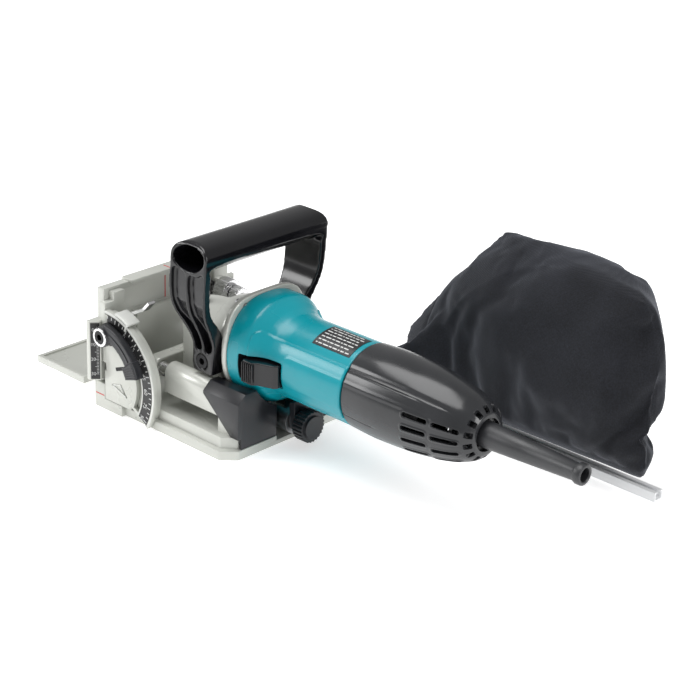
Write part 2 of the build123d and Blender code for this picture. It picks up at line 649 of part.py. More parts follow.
def switch_slider():
    """Ribbed thumb slide: raised finger pad in front, sloped tail behind."""
    pad = [(118.5, -26.0), (118.5, -38.6), (121, -40.4), (131, -40.0), (134, -37.4), (147, -33.6),
           (149.5, -31.2), (149.5, -26.0)]
    body = flat_plate(pad, SWITCH_Z - 8.0, SWITCH_Z + 8.0)
    for x in (122.4, 124.8, 127.2, 129.6):
        body -= block(x - 0.5, x + 0.5, -42, -39.6, SWITCH_Z - 7, SWITCH_Z + 7)
    return body + block(134, 138, -26.0, -25.3, MOTOR_Z - 2.6, MOTOR_Z + 2.6)


def switch_link():
    """Strip that carries the slide's movement back to the switch."""
    strip = block(134, 214, -25.3, -24.1, MOTOR_Z - 2.6, MOTOR_Z + 2.6)
    return strip + block(211, 214, -25.3, -14, MOTOR_Z - 2.6, MOTOR_Z + 2.6)


def switch_unit():
    case = block(216, 246, -20, -2, MOTOR_Z - 13, MOTOR_Z + 13)
    return case + block(214.4, 216, -18, -10, MOTOR_Z - 4, MOTOR_Z + 4)


# ---- Spindle and cutter ----
BEVEL_OUT = GEAR_RADIUS / math.sin(math.atan2(GEAR_TEETH, PINION_TEETH))
BEVEL_IN = 12.0


def bevel_tooth(cone_angle):
    """One straight tooth on a pitch cone about +Z with its tip at the origin."""
    angle = math.radians(cone_angle)
    along = Vector(math.sin(angle), 0, -math.cos(angle))
    normal = Vector(math.cos(angle), 0, math.sin(angle))
    faces = []
    for length in (BEVEL_IN, BEVEL_OUT):
        scale = length / BEVEL_OUT
        middle = along * length
        corners = [middle + normal * height * scale + Vector(0, half * scale, 0)
                   for height, half in ((-1.5, 1.0), (1.05, 0.42), (1.05, -0.42), (-1.5, -1.0))]
        faces.append(make_face(Polyline(*corners, close=True)))
    return loft(faces, ruled=True)


def bevel_gear():
    angle = math.degrees(math.atan2(GEAR_TEETH, PINION_TEETH))
    profile = [(4, 44.5), (9, 44.5), (9, 52.3), (14.9, 52.3), (15.5, 56.8), (14.55, 57.15),
               (10.95, 58.85), (10.8, 58.2), (4, 58.2)]
    outline = make_face(Polyline(*[(r, 0, z) for r, z in profile], close=True))
    body = Pos(SPINDLE_X, 0, 0) * revolve(outline, axis=Axis.Z)
    tooth = bevel_tooth(angle)
    for k in range(GEAR_TEETH):
        body += Pos(SPINDLE_X, 0, MOTOR_Z) * Rot(0, 0, 360 * k / GEAR_TEETH) * tooth
    for k in range(4):
        turn = math.radians(90 * k)
        hole_x, hole_y = SPINDLE_X - LOCK_RING * math.cos(turn), LOCK_RING * math.sin(turn)
        body -= rod_z(2.2, 50, 60, hole_x, hole_y)
    return body - rod_z(6.0, 40, 60)


def bevel_pinion():
    angle = math.degrees(math.atan2(PINION_TEETH, GEAR_TEETH))
    inner = BEVEL_IN * math.cos(math.radians(angle))
    outer = BEVEL_OUT * math.cos(math.radians(angle))
    body = cone_x(3.3, 4.35, SPINDLE_X + inner, SPINDLE_X + outer)
    tooth = bevel_tooth(angle)
    for k in range(PINION_TEETH):
        turned = Rot(0, 0, 360 * (k + 0.5) / PINION_TEETH) * tooth
        body += Pos(SPINDLE_X, 0, MOTOR_Z) * Rot(0, 90, 0) * Rot(180, 0, 0) * turned
    return body - rod_x(3.0, 55, 75)


def spindle():
    body = rod_z(6.0, 12.0, 57.5) + rod_z(4.0, 57.5, 71) + rod_z(5.0, 5.0, 12.0)
    return body


def blade_flange():
    return rod_z(14, 11.5, 14.6) - rod_z(6.0, 10, 20)


def blade():
    disc = rod_z(CUTTER_RADIUS - 2.2, CUTTER_Z - 1.3, CUTTER_Z + 1.3)
    for k in range(6):
        start = 60 * k
        tip = [(0, -1.7), (CUTTER_RADIUS - 0.3, -1.7), (CUTTER_RADIUS - 0.9, 1.7), (0, 1.7)]
        tooth = flat_plate(tip, CUTTER_Z - 1.9, CUTTER_Z + 1.9) & block(38, 60, -5, 5, 0, 20)
        disc += Pos(SPINDLE_X, 0, 0) * Rot(0, 0, start) * tooth
        gullet = flat_plate([(41.5, 3.2), (51, 2.0), (51, 13), (46.5, 11)], 0, 20)
        disc -= Pos(SPINDLE_X, 0, 0) * Rot(0, 0, start) * gullet
    return disc - rod_z(5.0, 0, 20)


def lock_nut():
    nut = rod_z(13, 5.4, 8.6) - rod_z(5.0, 0, 20)
    for k in range(4):
        turn = math.radians(90 * k + 45)
        nut -= rod_z(1.6, 5, 7.5, SPINDLE_X + 9.5 * math.cos(turn), 9.5 * math.sin(turn))
    return nut


# ---- Shaft lock and depth stop ----
def shaft_lock_button():
    x = LOCK_X
    return rod_z(2.0, 58.8, 78.5, x) + rod_z(5.8, 78.5, 82, x)


def shaft_lock_spring():
    coil = Helix(pitch=1.5, height=6.6, radius=3.2)
    profile = Plane(coil @ 0, z_dir=coil % 0) * Circle(0.35)
    return Pos(LOCK_X, 0, 71.2) * sweep(profile, path=coil)


def depth_bracket():
    lug = block(137, 142, -7, 7, DEPTH_Z, 40) + rod_x(7, 137, 142, 0, DEPTH_Z)
    return lug - casing(BELL) - rod_x(3.0 + RUN, 130, 150, 0, DEPTH_Z)


def depth_cam():
    """Six steps, one for each slot depth; the one that faces the stop screw is the deepest."""
    body = rod_x(CAM_RADIUS, CAM_REST, 136.6, 0, DEPTH_Z)
    for k, rise in enumerate((12.0, 7.4, 6.5, 5.8, 10.0)):
        start = 120 + 60 * k
        corners = [(0.0, DEPTH_Z)]
        for step in range(4):
            angle = math.radians(start + 20 * step)
            corners.append((14 * math.cos(angle), DEPTH_Z + 14 * math.sin(angle)))
        wedge = cross_plate(corners, CAM_REST - rise, CAM_REST)
        body += wedge & rod_x(CAM_RADIUS, CAM_REST - rise, CAM_REST, 0, DEPTH_Z)
    return body - rod_x(3.0, 100, 140, 0, DEPTH_Z)


def depth_knob():
    shaft = rod_x(3.0, 125, 146, 0, DEPTH_Z) + rod_x(9.8, 142.4, 144.2, 0, DEPTH_Z)
    grip = knurled(11.2, 144.2, 152.5, 24, 0.8, 0, DEPTH_Z)
    return shaft + grip + rod_x(8.2, 152.5, 154, 0, DEPTH_Z)


# ---- Write every node ----
nodes = {
    "base_casting": [base_casting()],
    "sole_cover": [sole_cover()],
    "depth_stop_housing": [depth_stop_housing()],
    "stop_screw": stop_screw(),
    "guide_bushes": guide_bushes(),
    "pointer_tab": [pointer_tab()],
    "stop_spring": [stop_spring()],
    "pivot_pins": pivot_pins(),
    "base_screws": base_screws(),
    "dust_spout": [dust_spout()],
    "bag_collar": [bag_collar()],
    "dust_bag": [dust_bag()],
    "bag_clip": [bag_clip()],
    "fence": [fence()],
    "angle_scale_plate": [angle_scale_plate()],
    "angle_guide": [angle_guide()],
    "guide_rack": [rack_bar()],
    "height_scale_plate": [height_scale_plate()],
    "height_pinion": [spur_pinion(7.2, 11.0)],
    "height_knob": [height_knob()],
    "height_lock_nut": [height_lock_nut()],
    "tilt_lever": [tilt_lever()],
    "tilt_clamp_screw": [tilt_clamp_screw()],
    "gear_housing": [gear_housing()],
    "handle": [handle()],
    "handle_screws": handle_screws(),
    "flange_screws": flange_screws(),
    "slide_bars": slide_bars(),
    "plunge_springs": plunge_springs(),
    "motor_housing": [motor_housing()],
    "rating_label": [rating_label()],
    "rear_cover": [rear_cover()],
    "cord_guard": [cord_guard()],
    "depth_bracket": [depth_bracket()],
    "depth_cam": [depth_cam()],
    "depth_knob": [depth_knob()],
    "field_core": [field_core()],
    "field_windings": field_windings(),
    "front_bearing": [bearing_x(11, 4.0, 80, 87)],
    "rear_bearing": [bearing_x(9.5, 3.5, 197, 203)],
    "spindle_bearing": [rod_z(16, 16, 26) - rod_z(6.0 + RUN, 10, 30)],
    "spindle_bush": [rod_z(5, 62, 71) - rod_z(4.0 + RUN, 60, 72)],
    "armature_shaft": [armature_shaft()],
    "armature_core": [armature_core()],
    "armature_windings": armature_windings(),
    "commutator": [commutator()],
    "cooling_fan": [cooling_fan()],
    "bevel_pinion": [bevel_pinion()],
    "bevel_gear": [bevel_gear()],
    "spindle": [spindle()],
    "blade_flange": [blade_flange()],
    "blade": [blade()],
    "lock_nut": [lock_nut()],
    "brush_holders": brush_holders(),
    "carbon_brushes": carbon_brushes(),
    "switch_unit": [switch_unit()],
    "switch_slider": [switch_slider()],
    "switch_link": [switch_link()],
    "shaft_lock_button": [shaft_lock_button()],
    "shaft_lock_spring": [shaft_lock_spring()],
}
for name, solids in nodes.items():
    save(name, *solids)
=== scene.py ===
"""Biscuit joiner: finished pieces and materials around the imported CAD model."""
import json
import math

import bmesh
import bpy
from mathutils import Matrix, Vector

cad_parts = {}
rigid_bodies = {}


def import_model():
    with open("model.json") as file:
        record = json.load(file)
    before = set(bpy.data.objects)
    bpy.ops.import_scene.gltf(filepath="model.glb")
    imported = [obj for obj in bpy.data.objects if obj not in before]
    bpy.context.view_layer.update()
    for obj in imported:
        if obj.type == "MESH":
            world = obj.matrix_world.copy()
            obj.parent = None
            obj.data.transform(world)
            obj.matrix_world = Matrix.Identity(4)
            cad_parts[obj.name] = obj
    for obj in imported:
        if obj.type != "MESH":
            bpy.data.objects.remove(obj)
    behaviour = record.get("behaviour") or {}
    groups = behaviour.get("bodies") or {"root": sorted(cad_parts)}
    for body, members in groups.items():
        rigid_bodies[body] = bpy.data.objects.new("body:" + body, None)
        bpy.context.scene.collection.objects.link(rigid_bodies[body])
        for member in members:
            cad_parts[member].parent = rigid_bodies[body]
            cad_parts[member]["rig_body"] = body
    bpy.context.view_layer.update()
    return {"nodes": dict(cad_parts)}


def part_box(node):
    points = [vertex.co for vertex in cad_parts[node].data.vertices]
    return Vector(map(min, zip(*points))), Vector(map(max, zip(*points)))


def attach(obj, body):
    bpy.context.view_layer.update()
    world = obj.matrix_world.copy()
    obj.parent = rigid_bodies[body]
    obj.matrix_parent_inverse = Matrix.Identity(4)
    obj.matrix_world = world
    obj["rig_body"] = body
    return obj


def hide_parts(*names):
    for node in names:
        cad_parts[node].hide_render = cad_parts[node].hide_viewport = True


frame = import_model()
NODES = frame["nodes"]
SCENE = bpy.context.scene

# ---- Driving dimensions, mm, from the work face, the middle plane and the sole ----
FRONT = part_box("base_casting")[0].x
MOTOR_Z = 64.0
BELL = [(107, 37.7, 0.4), (116, 37.7, 0.4), (122, 37.2, 0.4), (128, 34.4, 0.3), (133, 31.2, 0.2),
        (139, 29.2, 0.1), (148, 28.6, 0.0), (164, 28.7, 0.0), (203, 28.8, 0.0)]
TAIL = [(203, 28.9, 0.0), (225, 29.9, 0.0), (250, 29.0, 0.0), (272, 26.3, 0.0), (288, 22.8, 0.0),
        (295, 20.0, 0.0), (299.5, 17.0, 0.0), (302, 13.6, 0.0)]
WALL = 2.6
TUBE_RADIUS = 28.8
LABEL_LIFT = 0.34
SWITCH_Z = 61.0
SLIDER_BACK = 149.5
SLIDER_SHORTER = 0.823
PIVOT_X, PIVOT_Z = 13.0, 26.0
QUADRANT_FACE = -61.5
SLOT_RADIUS = 33.6
SCREW_ANGLE = 83.0
BAG_NEAR, BAG_FAR = 90.0, 130.0
SPIGOT_Y, SPIGOT_Z = 76.0, 26.0
MOUTH_X, MOUTH_RADIUS = 136.2, 21.0
BAG_VOXEL = 0.0042
CLOTH_REACH = 0.010
CLIP_LOW = 0.0066
FLOOR_HALF, FLOOR_Z = 6.0, -0.0003


def at(x, y, z):
    """A point in the drawing's millimetres, in the frame's metres."""
    return Vector((FRONT + x / 1000, y / 1000, z / 1000))


# ---- Materials ----
class Graph:
    """A material's node tree, with short calls for the nodes used here."""

    def __init__(self, name):
        self.material = bpy.data.materials.new(name)
        self.material.use_nodes = True
        self.tree = self.material.node_tree
        self.shader = self.tree.nodes["Principled BSDF"]
        self.place = self.add("ShaderNodeTexCoord").outputs["Object"]

    def add(self, kind, **values):
        node = self.tree.nodes.new(kind)
        for key, value in values.items():
            if key in node.inputs.keys():
                node.inputs[key].default_value = value
            else:
                setattr(node, key, value)
        return node

    def link(self, source, target):
        self.tree.links.new(source, target)

    def noise(self, scale, detail=4.0, stretch=(1, 1, 1)):
        node = self.add("ShaderNodeTexNoise", Scale=scale, Detail=detail)
        mapping = self.add("ShaderNodeMapping", Scale=stretch)
        self.link(self.place, mapping.inputs["Vector"])
        self.link(mapping.outputs["Vector"], node.inputs["Vector"])
        return node.outputs["Fac"]

    def spread(self, source, low, high, first=0.3, last=0.7):
        node = self.add("ShaderNodeMapRange")
        for key, value in zip(("From Min", "From Max", "To Min", "To Max"),
                              (first, last, low, high)):
            node.inputs[key].default_value = value
        self.link(source, node.inputs["Value"])
        return node.outputs["Result"]

    def tint(self, source, dark, light, first=0.3, last=0.7):
        node = self.add("ShaderNodeMix", data_type="RGBA")
        node.inputs["A"].default_value = (*dark, 1)
        node.inputs["B"].default_value = (*light, 1)
        node.inputs[6].default_value = (*dark, 1)
        node.inputs[7].default_value = (*light, 1)
        self.link(self.spread(source, 0, 1, first, last), node.inputs["Factor"])
        return node.outputs[2]

    def bump(self, source, strength, depth, normal=None):
        node = self.add("ShaderNodeBump", Strength=strength, Distance=depth)
        self.link(source, node.inputs["Height"])
        if normal is not None:
            self.link(normal, node.inputs["Normal"])
        return node.outputs["Normal"]

    def finish(self, colour, rough, normal, **values):
        self.link(colour, self.shader.inputs["Base Color"])
        self.link(rough, self.shader.inputs["Roughness"])
        self.link(normal, self.shader.inputs["Normal"])
        for key, value in values.items():
            self.shader.inputs[key.replace("_", " ")].default_value = value
        return self.material


def hard(name, dark, light, rough, grain=900, texture=0.25, depth=0.00005, edge=0.0004, **values):
    """Moulded plastic, paint or metal: uneven colour, uneven gloss, fine grain, eased edges."""
    graph = Graph(name)
    broad = graph.noise(28, 3.0)
    fine = graph.noise(grain, 3.0)
    eased = graph.add("ShaderNodeBevel", Radius=edge, samples=4).outputs["Normal"]
    normal = graph.bump(fine, texture, depth, eased)
    normal = graph.bump(broad, 0.05, 0.0006, normal)
    return graph.finish(graph.tint(broad, dark, light), graph.spread(broad, *rough), normal,
                        **values)


def brushed(name, dark, light, rough, stretch=(1, 1, 1), **values):
    """Bare metal with fine tool marks drawn out along one direction."""
    graph = Graph(name)
    marks = graph.noise(700, 5.0, stretch)
    broad = graph.noise(40, 3.0)
    eased = graph.add("ShaderNodeBevel", Radius=0.0003, samples=4).outputs["Normal"]
    normal = graph.bump(marks, 0.22, 0.00005, eased)
    return graph.finish(graph.tint(broad, dark, light), graph.spread(marks, *rough), normal,
                        Metallic=1.0, **values)


def woven(name, dark, light):
    """Plain weave: crossing threads under a soft heather of lighter fibres."""
    graph = Graph(name)
    heights = []
    for direction in ("X", "Z"):
        wave = graph.add("ShaderNodeTexWave", Scale=330.0, Distortion=1.6,
                         bands_direction=direction)
        wave.inputs["Detail Scale"].default_value = 3.0
        graph.link(graph.place, wave.inputs["Vector"])
        heights.append(wave.outputs["Fac"])
    weave = graph.add("ShaderNodeMath", operation="MULTIPLY")
    graph.link(heights[0], weave.inputs[0])
    graph.link(heights[1], weave.inputs[1])
    fibre = graph.noise(950, 3.0)
    patch = graph.noise(16, 3.0)
    mixed = graph.add("ShaderNodeMath", operation="MULTIPLY_ADD")
    graph.link(fibre, mixed.inputs[0])
    mixed.inputs[1].default_value = 0.75
    graph.link(graph.spread(patch, 0.0, 0.3), mixed.inputs[2])
    normal = graph.bump(weave.outputs[0], 0.5, 0.00025)
    normal = graph.bump(fibre, 0.35, 0.0002, normal)
    colour = graph.tint(mixed.outputs[0], dark, light, 0.3, 0.85)
    return graph.finish(colour, graph.spread(fibre, 0.75, 0.95), normal, Sheen_Weight=0.35,
                        Sheen_Roughness=0.4, Sheen_Tint=(0.55, 0.58, 0.66, 1), IOR=1.35)


FINISH = {
    "cast_silver": hard("cast_silver", (0.50, 0.51, 0.47), (0.56, 0.57, 0.53), (0.26, 0.38), 1500,
                        0.30, 0.00006, 0.0005, Metallic=0.25, Coat_Weight=0.15),
    "black_satin": hard("black_satin", (0.009, 0.0095, 0.012), (0.014, 0.0145, 0.018), (0.26, 0.36),
                        1400, 0.30, 0.00005, 0.0006),
    "black_gloss": hard("black_gloss", (0.0035, 0.0035, 0.0045), (0.006, 0.006, 0.008),
                        (0.16, 0.24), 500, 0.04, 0.00003, 0.0006),
    "housing_teal": hard("housing_teal", (0.000, 0.255, 0.310), (0.000, 0.290, 0.350),
                         (0.22, 0.30), 1300, 0.10, 0.00003, 0.0005),
    "scale_black": hard("scale_black", (0.010, 0.010, 0.011), (0.018, 0.018, 0.019), (0.35, 0.5)),
    "black_rubber": hard("black_rubber", (0.020, 0.021, 0.023), (0.028, 0.029, 0.032),
                         (0.32, 0.44), 1100, 0.35, 0.00006),
    "bag_cloth": woven("bag_cloth", (0.0030, 0.0034, 0.0052), (0.026, 0.028, 0.036)),
    "clip_white": hard("clip_white", (0.78, 0.79, 0.80), (0.85, 0.86, 0.87), (0.25, 0.40), 300,
                       0.15, 0.00005, 0.0004),
    "copper": brushed("copper", (0.55, 0.24, 0.12), (0.72, 0.36, 0.20), (0.28, 0.45), (1, 1, 8)),
    "laminate": brushed("laminate", (0.14, 0.14, 0.15), (0.26, 0.26, 0.27), (0.4, 0.6),
                        (12, 0.4, 0.4)),
    "carbon": hard("carbon", (0.02, 0.02, 0.02), (0.05, 0.05, 0.05), (0.55, 0.75)),
    "bronze": brushed("bronze", (0.42, 0.27, 0.12), (0.56, 0.38, 0.20), (0.35, 0.5)),
    "label": hard("label", (0.010, 0.010, 0.011), (0.016, 0.016, 0.018), (0.24, 0.34), 300, 0.05),
    "steel": brushed("steel", (0.30, 0.30, 0.31), (0.42, 0.42, 0.43), (0.28, 0.42), (1, 1, 1)),
    "bright_steel": brushed("bright_steel", (0.70, 0.70, 0.71), (0.80, 0.80, 0.80), (0.10, 0.22)),
    "blade_steel": brushed("blade_steel", (0.52, 0.52, 0.54), (0.64, 0.64, 0.66), (0.22, 0.36),
                           (1, 1, 0.2)),
}
CHARCOAL = hard("charcoal", (0.018, 0.019, 0.021), (0.027, 0.028, 0.031), (0.17, 0.25), 1500,
                0.30, 0.00005, 0.0004)
SCREW_BLACK = hard("screw_black", (0.012, 0.012, 0.013), (0.02, 0.02, 0.022), (0.3, 0.42),
                   Metallic=0.6)
MARK_WHITE = hard("mark_white", (0.62, 0.63, 0.62), (0.74, 0.75, 0.74), (0.4, 0.5))
MARK_RED = hard("mark_red", (0.50, 0.012, 0.012), (0.62, 0.02, 0.02), (0.4, 0.5))
PALE_PAINT = hard("pale_paint", (0.60, 0.61, 0.58), (0.68, 0.69, 0.66), (0.28, 0.4), 1500, 0.3,
                  0.00005, 0.0003, Metallic=0.15)


def slot_of(node):
    """The record's finish for a CAD node, which is also the name of its imported material."""
    return NODES[node].data.materials[0].name.split(".")[0]


NODE_SLOT = {name: slot_of(name) for name in NODES}
for name, shown in NODES.items():
    for material_slot in shown.material_slots:
        material_slot.material = FINISH[NODE_SLOT[name]]


# ---- Mesh helpers ----
def add_mesh(name, points, faces, material):
    """A mesh object from points and faces, in one material."""
    mesh = bpy.data.meshes.new(name)
    mesh.from_pydata([tuple(p) for p in points], [], faces)
    mesh.update()
    made = bpy.data.objects.new(name, mesh)
    SCENE.collection.objects.link(made)
    mesh.materials.append(material)
    return made


def repair(made):
    """Weld the seams and turn every face outwards."""
    shape = bmesh.new()
    shape.from_mesh(made.data)
    bmesh.ops.remove_doubles(shape, verts=shape.verts, dist=1e-6)
    bmesh.ops.recalc_face_normals(shape, faces=shape.faces)
    shape.to_mesh(made.data)
    shape.free()


def smooth(made, degrees=35.0):
    """Smooth shading, except over edges sharper than the given angle."""
    limit = math.radians(degrees)
    shape = bmesh.new()
    shape.from_mesh(made.data)
    for face in shape.faces:
        face.smooth = True
    for edge in shape.edges:
        edge.smooth = len(edge.link_faces) == 2 and edge.calc_face_angle(0.0) < limit
    shape.to_mesh(made.data)
    shape.free()


def applied(made, kind, **values):
    """Add one modifier and put its result in the mesh."""
    modifier = made.modifiers.new(kind.lower(), kind)
    for key, value in values.items():
        setattr(modifier, key, value)
    bake(made)


def bake(made):
    """Put the result of every modifier in the mesh."""
    graph = bpy.context.evaluated_depsgraph_get()
    result = bpy.data.meshes.new_from_object(made.evaluated_get(graph))
    made.modifiers.clear()
    old = made.data
    made.data = result
    bpy.data.meshes.remove(old)


def joined(parts, name):
    """Several pieces made into one."""
    bpy.ops.object.select_all(action="DESELECT")
    for part in parts:
        part.select_set(True)
    bpy.context.view_layer.objects.active = parts[0]
    bpy.ops.object.join()
    parts[0].name = name
    return parts[0]


def cut(made, *tools):
    """Take each tool away from the piece."""
    for tool in tools:
        applied(made, "BOOLEAN", operation="DIFFERENCE", object=tool, solver="EXACT")
        bpy.data.objects.remove(tool)


def settle(made, node, replaced=(), finish=None):
    """The piece rides with a CAD node, takes its finish and stands for the nodes listed."""
    made.data.materials.clear()
    made.data.materials.append(finish or FINISH[NODE_SLOT[node]])
    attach(made, NODES[node]["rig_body"])
    if replaced:
        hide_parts(*replaced)
    return made


def copied(node, name):
    """A repaired copy of a CAD node, as an object of its own."""
    mesh = NODES[node].data.copy()
    made = bpy.data.objects.new(name, mesh)
    SCENE.collection.objects.link(made)
    repair(made)
    return made


def softened(node, width, finish=None, angle=30.0):
    """A CAD node with its sharp edges rounded over."""
    made = copied(node, node + "_finished")
    shape = bmesh.new()
    shape.from_mesh(made.data)
    bmesh.ops.dissolve_limit(shape, angle_limit=math.radians(1.0), verts=shape.verts,
                             edges=shape.edges)
    shape.to_mesh(made.data)
    shape.free()
    applied(made, "BEVEL", width=width / 1000, segments=2, limit_method="ANGLE",
            angle_limit=math.radians(angle), use_clamp_overlap=True, miter_outer="MITER_ARC")
    smooth(made)
    return settle(made, node, [node], finish)


def moulded(node, voxel, rounds, finish=None):
    """A CAD node with its edges melted, as on a thick moulding."""
    made = copied(node, node + "_moulded")
    applied(made, "REMESH", mode="VOXEL", voxel_size=voxel / 1000, use_smooth_shade=True)
    applied(made, "SMOOTH", factor=0.5, iterations=rounds)
    smooth(made, 70)
    return settle(made, node, [node], finish)


def box_mesh(name, low, high, material, width=0.0):
    """A block between two corners in mm, with its edges rounded by width."""
    (x0, y0, z0), (x1, y1, z1) = low, high
    points = [at(x, y, z) for x in (x0, x1) for y in (y0, y1) for z in (z0, z1)]
    faces = [(0, 1, 3, 2), (4, 6, 7, 5), (0, 4, 5, 1), (2, 3, 7, 6), (0, 2, 6, 4), (1, 5, 7, 3)]
    made = add_mesh(name, points, faces, material)
    if width:
        applied(made, "BEVEL", width=width / 1000, segments=3)
        smooth(made)
    repair(made)
    return made


def ring_surface(name, rings, material, closed=False):
    """Quads between closed rings of points. Closed joins the last ring to the first."""
    points, faces = [], []
    around = len(rings[0])
    for ring in rings:
        points += ring
    count = len(rings)
    for k in range(count if closed else count - 1):
        low, high = k * around, ((k + 1) % count) * around
        for j in range(around):
            nxt = (j + 1) % around
            faces.append((low + j, low + nxt, high + nxt, high + j))
    if not closed:
        faces.append(tuple(range(around))[::-1])
        faces.append(tuple((count - 1) * around + j for j in range(around)))
    made = add_mesh(name, points, faces, material)
    repair(made)
    return made


def turned(name, profile, y, z, material, around=64):
    """A closed profile of (x, radius) points turned about an axis along X."""
    rings = []
    for x, radius in profile:
        ring = []
        for k in range(around):
            angle = 2 * math.pi * k / around
            ring.append(at(x, y + radius * math.cos(angle), z + radius * math.sin(angle)))
        rings.append(ring)
    made = ring_surface(name, rings, material, closed=True)
    smooth(made, 40)
    return made


def eased(stations):
    """A smooth curve through stations of (x, value, value)."""
    def slope(k, item):
        if k in (0, len(stations) - 1):
            near = 1 if k == 0 else k - 1
            return (stations[near][item] - stations[k][item]) / (stations[near][0] - stations[k][0])
        before = stations[k - 1]
        after = stations[k + 1]
        left = (stations[k][item] - before[item]) / (stations[k][0] - before[0])
        right = (after[item] - stations[k][item]) / (after[0] - stations[k][0])
        return 0.0 if left * right <= 0 else 2 * left * right / (left + right)

    def value(x):
        x = min(max(x, stations[0][0]), stations[-1][0])
        k = 0
        while k < len(stations) - 2 and stations[k + 1][0] < x:
            k += 1
        span = stations[k + 1][0] - stations[k][0]
        t = (x - stations[k][0]) / span
        found = []
        for item in (1, 2):
            a, b = stations[k][item], stations[k + 1][item]
            found.append(a * (2 * t ** 3 - 3 * t * t + 1) + b * (3 * t * t - 2 * t ** 3)
                         + span * (slope(k, item) * (t ** 3 - 2 * t * t + t)
                                   + slope(k + 1, item) * (t ** 3 - t * t)))
        return found
    return value


def step(value, low, high):
    """0 below low, 1 above high, smooth between."""
    t = min(max((value - low) / (high - low), 0.0), 1.0)
    return t * t * (3 - 2 * t)


def groove(distance, width, depth):
    """Cross-section of a rounded groove."""
    return -depth * (1 - step(abs(distance), width * 0.25, width * 0.5))


def panel(u, v, low, high, corner):
    """Signed distance to a rounded rectangle, negative inside."""
    du = abs(u - (low[0] + high[0]) / 2) - (high[0] - low[0]) / 2 + corner
    dv = abs(v - (low[1] + high[1]) / 2) - (high[1] - low[1]) / 2 + corner
    return math.hypot(max(du, 0.0), max(dv, 0.0)) + min(max(du, dv), 0.0) - corner


def shell(name, stations, detail, inner, steps, around, material):
    """A hollow casing about the motor axis. detail(x, degrees) raises or lowers its skin, with
    degrees measured upwards from level on the near side."""
    curve = eased(stations)
    first, last = stations[0][0], stations[-1][0]
    rings = []
    for inside in (False, True):
        count = steps if not inside else steps // 4
        for k in range(count + 1):
            x = first + (last - first) * k / count
            if inside:
                x = last - (last - first) * k / count
            half, square = curve(x)
            ring = []
            for j in range(around):
                angle = 2 * math.pi * j / around
                power = 2 + square * max(0.0, math.sin(angle))
                across, up = abs(math.cos(angle)), abs(math.sin(angle))
                size = half - (inner if inside else 0.0)
                radius = size / (across ** power + up ** power) ** (1 / power)
                if not inside:
                    degrees = math.degrees(math.atan2(math.sin(angle), abs(math.cos(angle))))
                    radius += detail(x, degrees)
                ring.append(at(x, radius * math.cos(angle), MOTOR_Z + radius * math.sin(angle)))
            rings.append(ring)
    made = ring_surface(name, rings, material, closed=True)
    return made


# ---- Motor housing ----
def housing_detail(x, degrees):
    """Raised side panel, the lines beside it and the two seams below."""
    along = 30.0 * math.radians(degrees)
    rise = 0.9 * (1 - step(panel(x, along, (125, -17), (225, 21.5), 7.0), -0.5, 0.5))
    rise += 0.35 * (1 - step(panel(x, along, (151, -9), (225, 13), 5.0), -0.4, 0.4))
    rise += groove(along + 24.3, 1.0, 0.5) * step(x, 118, 124)
    rise += 0.6 * (1 - step(x, 107.3, 108.4)) * -1
    rise += 0.5 * (1 - step(203 - x, 0.0, 0.7)) * -1
    return rise


motor_housing = shell("motor_housing_shell", BELL, housing_detail, WALL, 190, 256,
                      FINISH["housing_teal"])
cut(motor_housing, box_mesh("recess", (118.0, -50, SWITCH_Z - 9.5), (150.5, -25.4, SWITCH_Z + 9.5),
                            FINISH["housing_teal"], 1.6))
smooth(motor_housing, 50)
settle(motor_housing, "motor_housing", ["motor_housing"])

tray = box_mesh("switch_recess", (116.7, -37.4, SWITCH_Z - 10.7), (151.8, -24.0, SWITCH_Z + 10.7),
                FINISH["black_satin"], 1.4)
cut(tray, box_mesh("hollow", (118.1, -50, SWITCH_Z - 9.4), (150.4, -25.2, SWITCH_Z + 9.4),
                   FINISH["black_satin"], 1.2))
inside = shell("inside", BELL, lambda x, degrees: -0.5, 24.0, 60, 96, FINISH["black_satin"])
applied(tray, "BOOLEAN", operation="INTERSECT", object=inside, solver="EXACT")
bpy.data.objects.remove(inside)
smooth(tray)
settle(tray, "motor_housing", finish=FINISH["black_satin"])


# ---- Rear cover ----
VENTS = [(264.0, 14.0), (264.0, -4.0), (263.5, -22.0), (262.0, -44.0),
         (285.5, 14.0), (285.5, -6.0), (285.0, -29.0), (283.0, -54.0)]
VENT_LENGTH, VENT_WIDTH = 18.5, 3.1


def cover_detail(x, degrees):
    """Two seams that fade out, a ridge, and a rim around each vent."""
    along = 29.0 * math.radians(degrees)
    fade = 1 - step(x, 272, 290)
    rise = groove(along - 20.6, 0.9, 0.7) * fade
    rise += groove(along - 18.8, 0.8, 0.6) * (1 - step(x, 250, 272))
    rise += 0.35 * (1 - step(abs(along - 11.0), 0.3, 2.2)) * fade
    rise += 0.45 * step(along, 21.5, 24.5) * (1 - step(x, 262, 292))
    rise += groove(along + 11.5, 1.0, 0.45) * (1 - step(x, 226, 236))
    rise += groove(along + 24.0, 1.0, 0.5) * (1 - step(x, 226, 236))
    rise -= 0.7 * (1 - step(x, 203.2, 204.2))
    for vent_x, vent_degrees in VENTS:
        if abs(x - vent_x) < 15 and abs(degrees - vent_degrees) < 14:
            away = 27.0 * math.radians(degrees - vent_degrees)
            edge = panel(x - vent_x, away, (-VENT_LENGTH / 2, -VENT_WIDTH / 2),
                         (VENT_LENGTH / 2, VENT_WIDTH / 2), 1.45)
            rise += 0.45 * (1 - step(abs(edge - 0.5), 0.3, 0.9))
    return rise


